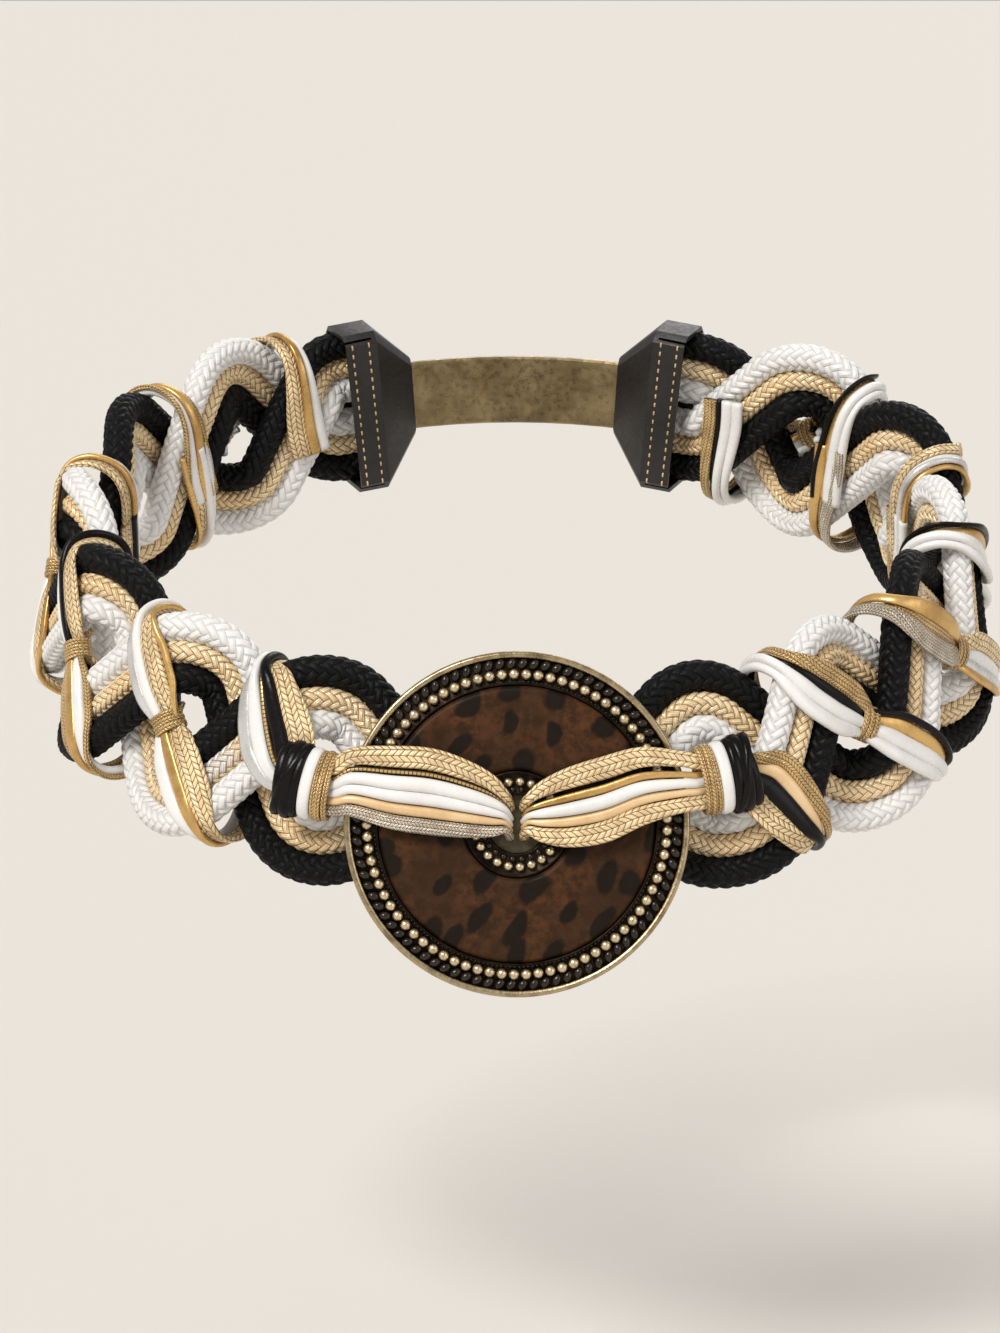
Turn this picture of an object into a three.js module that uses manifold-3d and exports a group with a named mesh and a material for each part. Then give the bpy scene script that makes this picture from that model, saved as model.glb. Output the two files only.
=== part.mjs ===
// A braided cord belt, closed round a waist: two bundles of three thick cords twine round the body,
// a band of thin straps wraps over and under them, and a big round medallion sits at the front,
// held by strap loops that come out of its centre hole.
// Millimetres, +Z up, +X to the right of someone looking at the front, the front faces -Y.
// The origin is the middle of the waist that the belt goes round.
import * as THREE from 'three';
import Module from 'manifold-3d';

const wasm = await Module();
wasm.setup();

// The waist that the belt lies on
const WAIST_HALF_WIDTH = 118;
const WAIST_HALF_DEPTH = 92;
const FRONT_DROP = 45; // how far the front hangs below the sides, and the back stands above them
const FLARE = THREE.MathUtils.degToRad(10); // the hips widen downwards, so the belt's face looks up a little

// Thick cords
const BLACK_RADIUS = 4.2;
const GOLD_RADIUS = 3.1;
const WHITE_RADIUS = 4.0;
const CLEARANCE = 0.3; // between any two pieces that touch on the real belt
const BEND_RADIUS = 15; // of a bundle's middle cord
const RISE_ANGLE = THREE.MathUtils.degToRad(56);
const FALL_ANGLE = THREE.MathUtils.degToRad(50);
const LEAD_ANGLE = THREE.MathUtils.degToRad(35);

// Where the two bundles cross, measured along the belt
const CROSSINGS = 6;
const CORD_END_RUN = 26; // from the last crossing to the cut ends inside the leather tabs

// Thin strap band
const STRAP_THICKNESS = 3;
const STRAP_WIDTH = 15;
const STRAP_WIDTH_PINCHED = 8;
const STRAP_THICKNESS_PINCHED = 4.4;
const STRAP_WIDTH_IN_KNOT = 10.4;
const STRAP_BEND = 5; // length in which the band turns down as it leaves a knot
const STRAP_HALF_HEIGHT = 31.3; // of the band's turns, above and below the belt's middle line

// Medallion
const MEDALLION_RADIUS = 48;
const MEDALLION_CENTRE_BELOW = 8; // below the belt's middle line
const MEDALLION_THICKNESS = 3;
const LEAD_START = MEDALLION_RADIUS - 6.5; // here the bundles leave their straight run behind the medallion
const FIRST_CROSSING = MEDALLION_RADIUS + 32;
const KEEPER_THICKNESS = 1.6; // plain plate behind the hole, that the loops' ends are fixed to
const KEEPER_RADIUS = 10.5;
const RIM_WIDTH = 1.6;
const RIM_HEIGHT = 1.2;
const DARK_RING_WIDTH = 3.45; // between the rim and the outer bead row
const BEAD_RADIUS = 1.35;
const BEAD_RING_RADIUS = MEDALLION_RADIUS - RIM_WIDTH - DARK_RING_WIDTH - BEAD_RADIUS;
const INSERT_MARGIN = 1.85; // between the insert's edges and the bead rows
const INSERT_RADIUS = BEAD_RING_RADIUS - BEAD_RADIUS - INSERT_MARGIN;
const INSERT_THICKNESS = 1.2;
const HUB_BEAD_RADIUS = 1.2;
const HUB_BEAD_GAP = 2.6; // between the hole's edge and the hub's bead row
const HOLE_RADIUS = 8;
const HUB_BEAD_RING_RADIUS = HOLE_RADIUS + HUB_BEAD_GAP + HUB_BEAD_RADIUS;
const HUB_RADIUS = HUB_BEAD_RING_RADIUS + HUB_BEAD_RADIUS + INSERT_MARGIN;

// Knot collars round the straps, on each side of the medallion
const KNOT_RAISE = 2.5; // above the belt's middle line
const KNOT_HALF_HEIGHT = 11.5;
const KNOT_HALF_DEPTH = 7.2;
const KNOT_WALL = 1.8;
const KNOT_ABOVE_CORDS = 4;
const KNOT_FEATHER = 0.5; // how much a collar narrows at its two ends
const KNOT_LENGTH = 15.2; // of the three collars together, without the gaps between them
// share is a collar's share of that length, swell how far its middle swells as a share of its wall
const KNOT_COLLARS = [
  { name: 'gold', share: 0.28, swell: 0, look: 'goldMesh' },
  { name: 'white', share: 0.22, swell: 0.16, look: 'whiteLeather' },
  { name: 'black', share: 0.5, swell: 0.44, look: 'blackLeather' },
];
KNOT_COLLARS.forEach((collar, i) => {
  const before = KNOT_COLLARS[i - 1];
  const start = before ? before.place + before.length / 2 + CLEARANCE : MEDALLION_RADIUS;
  collar.length = collar.share * KNOT_LENGTH;
  collar.place = start + collar.length / 2;
});

// Leather tabs and the plain clasp at the back
const TAB_WALL = 1.6;
const TAB_POCKET = 9;
const TAB_LENGTH = 24;
const CLASP_THICKNESS = 2.4;
const CLASP_WIDTH = 22;
const CLASP_GAP = 66.5; // between the two tabs

// Depths above the body, outwards: straps behind, cords of the back layer, cords of the front layer
const THICKEST = Math.max(BLACK_RADIUS, WHITE_RADIUS);
const STRAP_BEHIND = CLEARANCE + STRAP_THICKNESS / 2;
const BACK_LAYER = STRAP_BEHIND + STRAP_THICKNESS / 2 + 3.2 * CLEARANCE + THICKEST;
const FRONT_LAYER = BACK_LAYER + 2 * THICKEST + 2 * CLEARANCE;
const STRAP_FRONT = FRONT_LAYER + THICKEST + 2 * CLEARANCE + STRAP_THICKNESS / 2;
const MIDDLE_DEPTH = (BACK_LAYER + FRONT_LAYER) / 2;

const material = {
  blackCord: new THREE.MeshStandardMaterial({ color: 0x17171a, roughness: 0.8 }),
  goldCord: new THREE.MeshStandardMaterial({ color: 0xd9b070, roughness: 0.4, metalness: 0.4 }),
  whiteCord: new THREE.MeshStandardMaterial({ color: 0xf3f1ed, roughness: 0.6 }),
  goldMesh: new THREE.MeshStandardMaterial({ color: 0xcfa562, roughness: 0.4, metalness: 0.5 }),
  blackLeather: new THREE.MeshStandardMaterial({ color: 0x151313, roughness: 0.35 }),
  whiteLeather: new THREE.MeshStandardMaterial({ color: 0xf5f3f2, roughness: 0.35 }),
  beigeLeather: new THREE.MeshStandardMaterial({ color: 0xe3bd85, roughness: 0.4 }),
  brass: new THREE.MeshStandardMaterial({ color: 0x8a7443, roughness: 0.35, metalness: 1 }),
  insert: new THREE.MeshStandardMaterial({ color: 0x4a2b1a, roughness: 0.4 }),
};

// The waist line at a turn from the front, positive to the right
function waistPoint(turn) {
  return new THREE.Vector3(
    WAIST_HALF_WIDTH * Math.sin(turn),
    -WAIST_HALF_DEPTH * Math.cos(turn),
    -FRONT_DROP * Math.cos(turn),
  );
}

// The belt's own directions at a turn: along it, out of its face, and up across it
function waistAxes(turn) {
  const along = new THREE.Vector3(
    WAIST_HALF_WIDTH * Math.cos(turn),
    WAIST_HALF_DEPTH * Math.sin(turn),
    FRONT_DROP * Math.sin(turn),
  ).normalize();
  const out = new THREE.Vector3(
    WAIST_HALF_DEPTH * Math.sin(turn),
    -WAIST_HALF_WIDTH * Math.cos(turn),
    0,
  ).normalize();
  out.multiplyScalar(Math.cos(FLARE)).add(new THREE.Vector3(0, 0, Math.sin(FLARE)));
  out.addScaledVector(along, -out.dot(along)).normalize();
  const across = new THREE.Vector3().crossVectors(out, along).normalize();
  return { along, out, across };
}

// Length along the belt's middle depth for each of many turns, from the front to the back
const TURN_STEPS = 720;
const lengthAtTurn = [0];
for (let i = 1; i <= TURN_STEPS; i++) {
  const ends = [i - 1, i].map((n) => {
    const turn = (Math.PI * n) / TURN_STEPS;
    return waistPoint(turn).addScaledVector(waistAxes(turn).out, MIDDLE_DEPTH);
  });
  lengthAtTurn.push(lengthAtTurn[i - 1] + ends[0].distanceTo(ends[1]));
}
const HALF_LENGTH = lengthAtTurn[TURN_STEPS];

// The crossings share what the medallion's stretch, the tab and the clasp leave of each half
const LAST_CROSSING = HALF_LENGTH - CLASP_GAP / 2 - (TAB_LENGTH - TAB_POCKET) - CORD_END_RUN;
const CROSSING_PITCH = (LAST_CROSSING - FIRST_CROSSING) / (CROSSINGS - 1);
const CORD_END = LAST_CROSSING + CORD_END_RUN;

function turnAtLength(length) {
  const target = Math.abs(length);
  let i = lengthAtTurn.findIndex((l) => l >= target);
  if (i < 0) i = TURN_STEPS;
  i = Math.max(1, i);
  const share = (target - lengthAtTurn[i - 1]) / (lengthAtTurn[i] - lengthAtTurn[i - 1]);
  return (Math.sign(length) * Math.PI * (i - 1 + share)) / TURN_STEPS;
}

// A place on the belt: u along it from the front, v up across it, w out of it from the body
function onBelt(u, v, w) {
  const turn = turnAtLength(u);
  const { out, across } = waistAxes(turn);
  return waistPoint(turn).addScaledVector(across, v).addScaledVector(out, w);
}

// The left half is the right half turned half way round about the medallion's axis
function sided(side, station) {
  return side > 0 ? station : { ...station, u: -station.u, v: -station.v };
}

// Corner of two straight lines, each a point and a heading
function corner(first, second) {
  const [d1, d2] = [first, second].map((l) => [Math.cos(l.heading), Math.sin(l.heading)]);
  const cross = d1[0] * d2[1] - d1[1] * d2[0];
  const t = ((second.u - first.u) * d2[1] - (second.v - first.v) * d2[0]) / cross;
  return { u: first.u + d1[0] * t, v: first.v + d1[1] * t };
}

// The straight lines that one bundle follows on one half, from the medallion to the tab.
// Lines that rise lie in the front layer, and lines that fall lie in the back layer.
const BUNDLE_HALF = BLACK_RADIUS + GOLD_RADIUS + WHITE_RADIUS + CLEARANCE;
const RUN_OFFSET = BUNDLE_HALF + 1.2;
function bundleLines(startsLow) {
  const way = startsLow ? -1 : 1;
  const lines = [
    { u: 0, v: way * RUN_OFFSET, heading: 0, w: BACK_LAYER },
    { u: LEAD_START, v: way * RUN_OFFSET, heading: way * LEAD_ANGLE, w: BACK_LAYER },
  ];
  for (let k = 0; k < CROSSINGS; k++) {
    const rises = (k % 2 === 0) === startsLow;
    lines.push({
      u: FIRST_CROSSING + k * CROSSING_PITCH,
      v: 0,
      heading: rises ? RISE_ANGLE : -FALL_ANGLE,
      w: rises ? FRONT_LAYER : BACK_LAYER,
    });
  }
  const endsHigh = (CROSSINGS % 2 === 1) === startsLow;
  lines.push({
    u: CORD_END,
    v: (endsHigh ? 1 : -1) * RUN_OFFSET,
    heading: 0,
    w: MIDDLE_DEPTH,
  });
  return lines;
}

// Stations of one cord that lies beside the bundle's middle line. beside is its offset to the left.
const ARC_STEPS = 3.5; // for a quarter turn
const LAYER_HOLD = 0.12; // share of a bend that still lies in the front layer
function cordStations(lines, beside) {
  const stations = [];
  const besidePoint = (line) => ({
    u: line.u - Math.sin(line.heading) * beside,
    v: line.v + Math.cos(line.heading) * beside,
    w: line.w,
  });
  stations.push(besidePoint(lines[0]));
  for (let i = 1; i < lines.length; i++) {
    const before = lines[i - 1];
    const after = lines[i];
    const turned = after.heading - before.heading;
    const left = Math.sign(turned);
    const at = corner(before, after);
    const middle = (before.heading + after.heading) / 2 + (left * Math.PI) / 2;
    const away = BEND_RADIUS / Math.cos(turned / 2);
    const centre = { u: at.u + Math.cos(middle) * away, v: at.v + Math.sin(middle) * away };
    const radius = BEND_RADIUS - left * beside;
    const steps = Math.max(2, Math.ceil((ARC_STEPS * Math.abs(turned)) / (Math.PI / 2) - 0.5));
    for (let s = 0; s <= steps; s++) {
      const heading = before.heading + (turned * s) / steps;
      const share = before.w > after.w ? s / steps : 1 - s / steps;
      const eased = THREE.MathUtils.smoothstep(share, LAYER_HOLD, 1);
      const [high, low] = [Math.max(before.w, after.w), Math.min(before.w, after.w)];
      stations.push({
        u: centre.u + Math.sin(heading) * left * radius,
        v: centre.v - Math.cos(heading) * left * radius,
        w: high + (low - high) * eased,
      });
    }
    const isCrossing = i > 1 && i < lines.length - 1;
    if (isCrossing || i === lines.length - 1) stations.push(besidePoint(after));
  }
  return stations;
}

// A curve that is walked from station to station, whatever their distances
class StationCurve extends THREE.Curve {
  constructor(points) {
    super();
    this.points = points;
  }
  getPoint(t, target = new THREE.Vector3()) {
    const place = Math.min(Math.max(t, 0), 1) * (this.points.length - 1);
    const i = Math.min(Math.floor(place), this.points.length - 2);
    return target.lerpVectors(this.points[i], this.points[i + 1], place - i);
  }
  getPointAt(t, target) {
    return this.getPoint(t, target);
  }
  getTangentAt(t, target = new THREE.Vector3()) {
    const half = 0.5 / (this.points.length - 1);
    const ahead = this.getPoint(Math.min(1, t + half));
    return target.copy(ahead).sub(this.getPoint(Math.max(0, t - half))).normalize();
  }
}

// A round cord through points, with a section of a few sides
function roundCord(points, radius, sides) {
  const section = new THREE.Shape();
  for (let i = 0; i < sides; i++) {
    const angle = (2 * Math.PI * i) / sides;
    const [x, y] = [radius * Math.cos(angle), radius * Math.sin(angle)];
    if (i === 0) section.moveTo(x, y);
    else section.lineTo(x, y);
  }
  section.closePath();
  return new THREE.ExtrudeGeometry(section, {
    steps: points.length - 1,
    bevelEnabled: false,
    extrudePath: new StationCurve(points),
  });
}

// A closed solid through rings of as many points each, with flat ends
function loft(rings) {
  const count = rings[0].length;
  const positions = rings.flat().flatMap((p) => [p.x, p.y, p.z]);
  const index = [];
  for (let r = 0; r + 1 < rings.length; r++) {
    for (let i = 0; i < count; i++) {
      const [a, b] = [r * count + i, r * count + ((i + 1) % count)];
      const [c, d] = [a + count, b + count];
      index.push(a, b, d, a, d, c);
    }
  }
  const last = (rings.length - 1) * count;
  for (let i = 1; i + 1 < count; i++) {
    index.push(0, i + 1, i);
    index.push(last, last + i, last + i + 1);
  }
  const geometry = new THREE.BufferGeometry();
  geometry.setAttribute('position', new THREE.Float32BufferAttribute(positions, 3));
  geometry.setIndex(index);
  return geometry;
}

function solidOf(geometry) {
  const mesh = new wasm.Mesh({
    numProp: 3,
    vertProperties: Float32Array.from(geometry.attributes.position.array),
    triVerts: Uint32Array.from(geometry.index.array),
  });
  return new wasm.Manifold(mesh);
}

function geometryOf(solid) {
  const mesh = solid.getMesh();
  const geometry = new THREE.BufferGeometry();
  geometry.setAttribute('position', new THREE.BufferAttribute(Float32Array.from(mesh.vertProperties), 3));
  geometry.setIndex(new THREE.BufferAttribute(Uint32Array.from(mesh.triVerts), 1));
  return geometry;
}

// A flat strap through stations. width is its half width's direction on the belt's face.
function strap(stations) {
  const points = stations.map((s) => onBelt(s.u, s.v, s.w));
  const rings = stations.map((s, i) => {
    const before = points[Math.max(0, i - 1)];
    const after = points[Math.min(points.length - 1, i + 1)];
    const tangent = after.clone().sub(before).normalize();
    const { along, across } = waistAxes(turnAtLength(s.u));
    const lean = THREE.MathUtils.degToRad(s.lean);
    const width = along.clone().multiplyScalar(Math.cos(lean)).addScaledVector(across, Math.sin(lean));
    width.addScaledVector(tangent, -width.dot(tangent)).normalize();
    const thick = new THREE.Vector3().crossVectors(tangent, width).normalize();
    const profile = [[1, 0], [0.72, 1], [-0.72, 1], [-1, 0], [-0.72, -1], [0.72, -1]];
    return profile.map(([x, y]) =>
      points[i]
        .clone()
        .addScaledVector(width, (x * s.width) / 2)
        .addScaledVector(thick, (y * s.thick) / 2),
    );
  });
  return loft(rings);
}

// One turn of the strap band, from behind a crossing, over the top edge, down across the front
// through the eye between two crossings, round the bottom edge and behind the next crossing.
// along and up are shares of the crossing pitch and of the belt's half height, depth runs from
// 0 behind the cords to 1 in front of them, wide from 0 pinched to 1 full, lean turns the width.
const STRAP_TURN = [
  { along: 0.0, up: 0.0, depth: 0.0, wide: 1.0, lean: 0 },
  { along: 0.01, up: 0.64, depth: 0.0, wide: 0.3, lean: 0 },
  { along: 0.035, up: 1.0, depth: 0.3, wide: 0.0, lean: 8 },
  { along: 0.06, up: 1.0, depth: 0.8, wide: 0.0, lean: 22 },
  { along: 0.12, up: 0.82, depth: 1.0, wide: 0.4, lean: 38 },
  { along: 0.2, up: 0.56, depth: 1.03, wide: 1.0, lean: 47 },
  { along: 0.35, up: 0.26, depth: 0.99, wide: 0.8, lean: 48 },
  { along: 0.5, up: 0.0, depth: 0.89, wide: 0.14, lean: 48 },
];
function strapStation(at, row, mirrored) {
  const way = mirrored ? -1 : 1;
  const along = mirrored ? 1 - row.along : row.along;
  const thickened = row.depth > 0 ? (1 - row.wide) * (STRAP_THICKNESS_PINCHED - STRAP_THICKNESS) : 0;
  return {
    u: at + CROSSING_PITCH * along,
    v: way * row.up * STRAP_HALF_HEIGHT,
    w: STRAP_BEHIND + row.depth * (STRAP_FRONT - STRAP_BEHIND),
    width: STRAP_WIDTH_PINCHED + row.wide * (STRAP_WIDTH - STRAP_WIDTH_PINCHED),
    thick: STRAP_THICKNESS + thickened,
    lean: row.lean,
  };
}
// The half turn from an eye to behind the next crossing
function strapDown(at) {
  return STRAP_TURN.slice(1, -1).reverse().map((row) => strapStation(at, row, true));
}
// The half turn from behind a crossing to the eye after it
function strapUp(at) {
  return STRAP_TURN.map((row) => strapStation(at, row, false));
}

const KNOT_DEPTH = BACK_LAYER + THICKEST + CLEARANCE + KNOT_HALF_DEPTH + KNOT_ABOVE_CORDS;
function strapBand() {
  const black = KNOT_COLLARS[KNOT_COLLARS.length - 1];
  const mouth = black.place + black.length / 2;
  const start = {
    u: mouth - black.length + 1,
    v: KNOT_RAISE,
    w: KNOT_DEPTH,
    width: STRAP_WIDTH_IN_KNOT,
    thick: STRAP_THICKNESS,
    lean: 88,
  };
  const fallen = KNOT_RAISE - 1.2 * STRAP_BEND;
  const raised = STRAP_FRONT + STRAP_THICKNESS / 2;
  const stations = [
    start,
    { ...start, u: mouth + STRAP_BEND / 3, lean: 84 },
    { ...start, u: mouth + STRAP_BEND, v: fallen, w: raised, lean: 56 },
  ];
  stations.push(...strapDown(FIRST_CROSSING - CROSSING_PITCH).slice(1));
  for (let k = 0; k + 1 < CROSSINGS; k++) {
    const at = FIRST_CROSSING + k * CROSSING_PITCH;
    stations.push(...strapUp(at), ...strapDown(at));
  }
  const behind = strapStation(LAST_CROSSING, STRAP_TURN[0], false);
  const turn = (STRAP_WIDTH * 2) / 3; // radius in which the band turns along the belt, into the tab
  stations.push({ ...behind, v: -turn });
  stations.push({ ...behind, u: LAST_CROSSING + 0.3 * turn, v: -0.3 * turn, lean: -45 });
  stations.push({ ...behind, u: LAST_CROSSING + turn, lean: -90 });
  stations.push({ ...behind, u: CORD_END - TAB_POCKET, w: STRAP_BEHIND + 0.6, lean: -90 });
  stations.push({ ...behind, u: CORD_END, w: STRAP_BEHIND + 1.2, lean: -90 });
  return stations;
}

// Cross-section of a piece that follows the belt: a rectangle with cut corners
function beltRing(u, halfHeight, low, high, bevel) {
  const [cut, top] = [Math.min(bevel, (high - low) / 2.1), halfHeight];
  return [
    [top - cut, low], [top, low + cut], [top, high - cut], [top - cut, high],
    [-top + cut, high], [-top, high - cut], [-top, low + cut], [-top + cut, low],
  ].map(([v, w]) => onBelt(u, v, w));
}

// A collar round the straps: an oval ring whose outside swells
function knotCollar(side, collar) {
  const sides = 12;
  const half = collar.length / 2;
  const profile = [
    { along: -half, out: -KNOT_FEATHER },
    { along: -half * 0.4, out: collar.swell * KNOT_WALL },
    { along: half * 0.4, out: collar.swell * KNOT_WALL },
    { along: half, out: -KNOT_FEATHER },
  ];
  const ring = (along, height, depth) => {
    const points = [];
    for (let i = 0; i < sides; i++) {
      const angle = (2 * Math.PI * i) / sides;
      const v = KNOT_RAISE + height * Math.cos(angle);
      const w = KNOT_DEPTH + depth * Math.sin(angle);
      points.push(onBelt(side * (collar.place + along), side * v, w));
    }
    return points;
  };
  const outer = profile.map((p) => ring(p.along, KNOT_HALF_HEIGHT + p.out, KNOT_HALF_DEPTH + p.out));
  const bore = [-half - 1, half + 1].map((along) =>
    ring(along, KNOT_HALF_HEIGHT - KNOT_WALL, KNOT_HALF_DEPTH - KNOT_WALL));
  return geometryOf(solidOf(loft(outer)).subtract(solidOf(loft(bore))));
}

// The medallion's own frame: its back's centre, and its directions
const MEDALLION_BACK = BACK_LAYER + THICKEST + 2 * CLEARANCE + KEEPER_THICKNESS;
const medallionOrigin = onBelt(0, -MEDALLION_CENTRE_BELOW, MEDALLION_BACK);
const medallionAxes = waistAxes(0);
const medallionFrame = new THREE.Matrix4()
  .makeBasis(medallionAxes.along, medallionAxes.across, medallionAxes.out)
  .setPosition(medallionOrigin);
const ROUND_SIDES = 30;
function turnedOnMedallion(profile) {
  const points = profile.map(([radius, depth]) => new THREE.Vector2(radius, depth));
  points.push(points[0].clone());
  const geometry = new THREE.LatheGeometry(points, ROUND_SIDES);
  geometry.rotateX(Math.PI / 2);
  return geometry.applyMatrix4(medallionFrame);
}
const FACE = MEDALLION_THICKNESS - RIM_HEIGHT; // the sunk floor that carries the bead rows and the insert
function medallionFrameProfile() {
  const [rim, hub] = [MEDALLION_RADIUS, HUB_RADIUS];
  return [
    [HOLE_RADIUS, 0],
    [rim - 0.6, 0],
    [rim, 0.6],
    [rim, MEDALLION_THICKNESS - 0.4],
    [rim - 0.4, MEDALLION_THICKNESS],
    [rim - RIM_WIDTH, MEDALLION_THICKNESS],
    [rim - RIM_WIDTH, FACE],
    [INSERT_RADIUS + CLEARANCE, FACE],
    [INSERT_RADIUS + CLEARANCE, FACE - INSERT_THICKNESS / 2],
    [hub - CLEARANCE, FACE - INSERT_THICKNESS / 2],
    [hub - CLEARANCE, FACE],
    [HOLE_RADIUS + RIM_WIDTH / 2, FACE],
    [HOLE_RADIUS + RIM_WIDTH / 2, MEDALLION_THICKNESS - 0.6],
    [HOLE_RADIUS, MEDALLION_THICKNESS - 0.6],
  ];
}
function insertProfile() {
  const bottom = FACE - INSERT_THICKNESS / 2 + CLEARANCE / 2;
  return [
    [HUB_RADIUS, bottom],
    [INSERT_RADIUS, bottom],
    [INSERT_RADIUS, bottom + INSERT_THICKNESS],
    [HUB_RADIUS, bottom + INSERT_THICKNESS],
  ];
}
// A row of beads in plain form: a half-round ridge
function beadRidgeProfile(ringRadius, beadRadius) {
  const bottom = FACE + CLEARANCE / 2;
  return [
    [ringRadius - beadRadius, bottom],
    [ringRadius + beadRadius, bottom],
    [ringRadius + beadRadius * 0.7, bottom + beadRadius],
    [ringRadius - beadRadius * 0.7, bottom + beadRadius],
  ];
}

// The loops that hold the medallion, from the top strand down. width is a strand's share of the
// widest one's width in the middle of its loop, thick its share of the thickest one's.
const LOOP_STRANDS = {
  left: [
    { name: 'gold_mesh', width: 0.97, thick: 0.94, look: 'goldMesh' },
    { name: 'dark_piping', width: 0.29, thick: 0.56, look: 'blackLeather' },
    { name: 'white_upper', width: 0.59, thick: 1.0, look: 'whiteLeather' },
    { name: 'white_lower', width: 0.5, thick: 0.89, look: 'whiteLeather' },
    { name: 'beige', width: 0.5, thick: 0.89, look: 'beigeLeather' },
    { name: 'silver_mesh', width: 0.68, thick: 0.94, look: 'goldMesh' },
  ],
  right: [
    { name: 'gold_mesh', width: 1.0, thick: 0.94, look: 'goldMesh' },
    { name: 'gold_strap', width: 0.41, thick: 0.67, look: 'goldMesh' },
    { name: 'white', width: 0.56, thick: 1.0, look: 'whiteLeather' },
    { name: 'beige', width: 0.5, thick: 0.89, look: 'beigeLeather' },
    { name: 'gold_mesh_lower', width: 0.94, thick: 0.94, look: 'goldMesh' },
  ],
};
const LOOP_STRAND_WIDTH = 6.8;
const LOOP_STRAND_HALF_THICKNESS = 1.8;
const LOOP_ROOM = 2.4; // left free above and below the strands in a knot and in the hole
const LOOP_HEIGHT_AT_KNOT = 2 * (KNOT_HALF_HEIGHT - KNOT_WALL - LOOP_ROOM);
const LOOP_HEIGHT_AT_HOLE = 2 * (HOLE_RADIUS - LOOP_ROOM) - CLEARANCE;
const LOOP_MIDDLE_ABOVE = { left: 9.6, right: 7.4 }; // each loop's middle, above the medallion's centre
const LOOP_HOLE_PLACE = 0.3 * HOLE_RADIUS; // each loop goes into its own half of the hole
const LOOP_LIFT = 2.2; // of the strands over the medallion's face, at their highest
const LOOP_RISE = 1.4; // of the strands towards the front as they leave the knot
const LOOP_IN_KNOT = 2.4; // how far the strands reach into the first collar past its middle
// Rows from the knot to the hole. reach is the distance from the middle as a share of the way,
// lift the height over the face as a share of LOOP_LIFT, spread how far the strands have fanned
// out of the knot.
const LOOP_ROWS = [
  { reach: 0.95, lift: 0.41, spread: 0.3 },
  { reach: 0.72, lift: 0.91, spread: 0.85 },
  { reach: 0.5, lift: 1.0, spread: 1.0 },
  { reach: 0.3, lift: 0.73, spread: 0.72 },
  { reach: 0.15, lift: 0.36, spread: 0.3 },
];

// Middles and half heights of strands stacked one under another inside a height, about a middle
function stacked(strands, height, middle) {
  const gap = 2 * CLEARANCE;
  const wide = strands.reduce((sum, s) => sum + 2 * s.half, 0);
  const shrink = (height - gap * (strands.length - 1)) / wide;
  let top = middle + height / 2;
  return strands.map((s) => {
    const half = s.half * shrink;
    const up = top - half;
    top -= 2 * half + gap;
    return { up, half };
  });
}

function loopStrands(name, side) {
  const strands = LOOP_STRANDS[name].map((strand) => ({
    ...strand,
    half: (strand.width * LOOP_STRAND_WIDTH) / 2,
    thick: strand.thick * LOOP_STRAND_HALF_THICKNESS,
  }));
  const fullHeight = strands.reduce((sum, s) => sum + 2 * (s.half + CLEARANCE), -2 * CLEARANCE);
  const toLocal = medallionFrame.clone().invert();
  const collar = KNOT_COLLARS[0];
  const inKnot = (u, depth) => onBelt(side * u, side * KNOT_RAISE, depth).applyMatrix4(toLocal);
  const knotFrom = inKnot(collar.place + LOOP_IN_KNOT, KNOT_DEPTH);
  const knotMouth = inKnot(collar.place - LOOP_IN_KNOT - KNOT_FEATHER, KNOT_DEPTH + LOOP_RISE);
  const atKnot = stacked(strands, LOOP_HEIGHT_AT_KNOT, 0);
  const atMiddle = stacked(strands, fullHeight, LOOP_MIDDLE_ABOVE[name]);
  const atHole = stacked(strands, LOOP_HEIGHT_AT_HOLE, 0);
  const rimTop = MEDALLION_THICKNESS + CLEARANCE;
  return strands.map((strand, i) => {
    const rows = [knotFrom, knotMouth].map((at) => ({
      x: at.x, up: at.y + atKnot[i].up, depth: at.z, half: atKnot[i].half, thick: strand.thick,
    }));
    const full = side * MEDALLION_RADIUS;
    for (const row of LOOP_ROWS) {
      const towards = row.reach > 0.5 ? knotMouth.y + atKnot[i].up : atHole[i].up;
      const narrow = row.reach > 0.5 ? atKnot[i].half : atHole[i].half;
      rows.push({
        x: full * row.reach,
        up: towards + (atMiddle[i].up - towards) * row.spread,
        depth: rimTop + strand.thick + row.lift * LOOP_LIFT,
        half: narrow + (atMiddle[i].half - narrow) * row.spread,
        thick: strand.thick,
      });
    }
    const dive = { ...atHole[i], x: side * LOOP_HOLE_PLACE, thick: strand.thick };
    rows.push({ ...dive, depth: MEDALLION_THICKNESS - 0.4 }, { ...dive, depth: 0 });
    const points = rows.map((r) => new THREE.Vector3(r.x, r.up, r.depth));
    const rings = rows.map((r, n) => {
      const before = points[Math.max(0, n - 1)];
      const after = points[Math.min(points.length - 1, n + 1)];
      const tangent = after.clone().sub(before).normalize();
      const width = new THREE.Vector3(0, 1, 0);
      width.addScaledVector(tangent, -width.dot(tangent)).normalize();
      const thick = new THREE.Vector3().crossVectors(tangent, width).normalize();
      const profile = [[1, 0], [0.6, 0.85], [-0.6, 0.85], [-1, 0], [-0.6, -0.85], [0.6, -0.85]];
      return profile.map(([a, b]) =>
        points[n].clone().addScaledVector(width, a * r.half).addScaledVector(thick, b * r.thick));
    });
    const geometry = loft(rings).applyMatrix4(medallionFrame);
    return { name: `${name}_loop_${strand.name}`, geometry, look: strand.look };
  });
}

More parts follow.
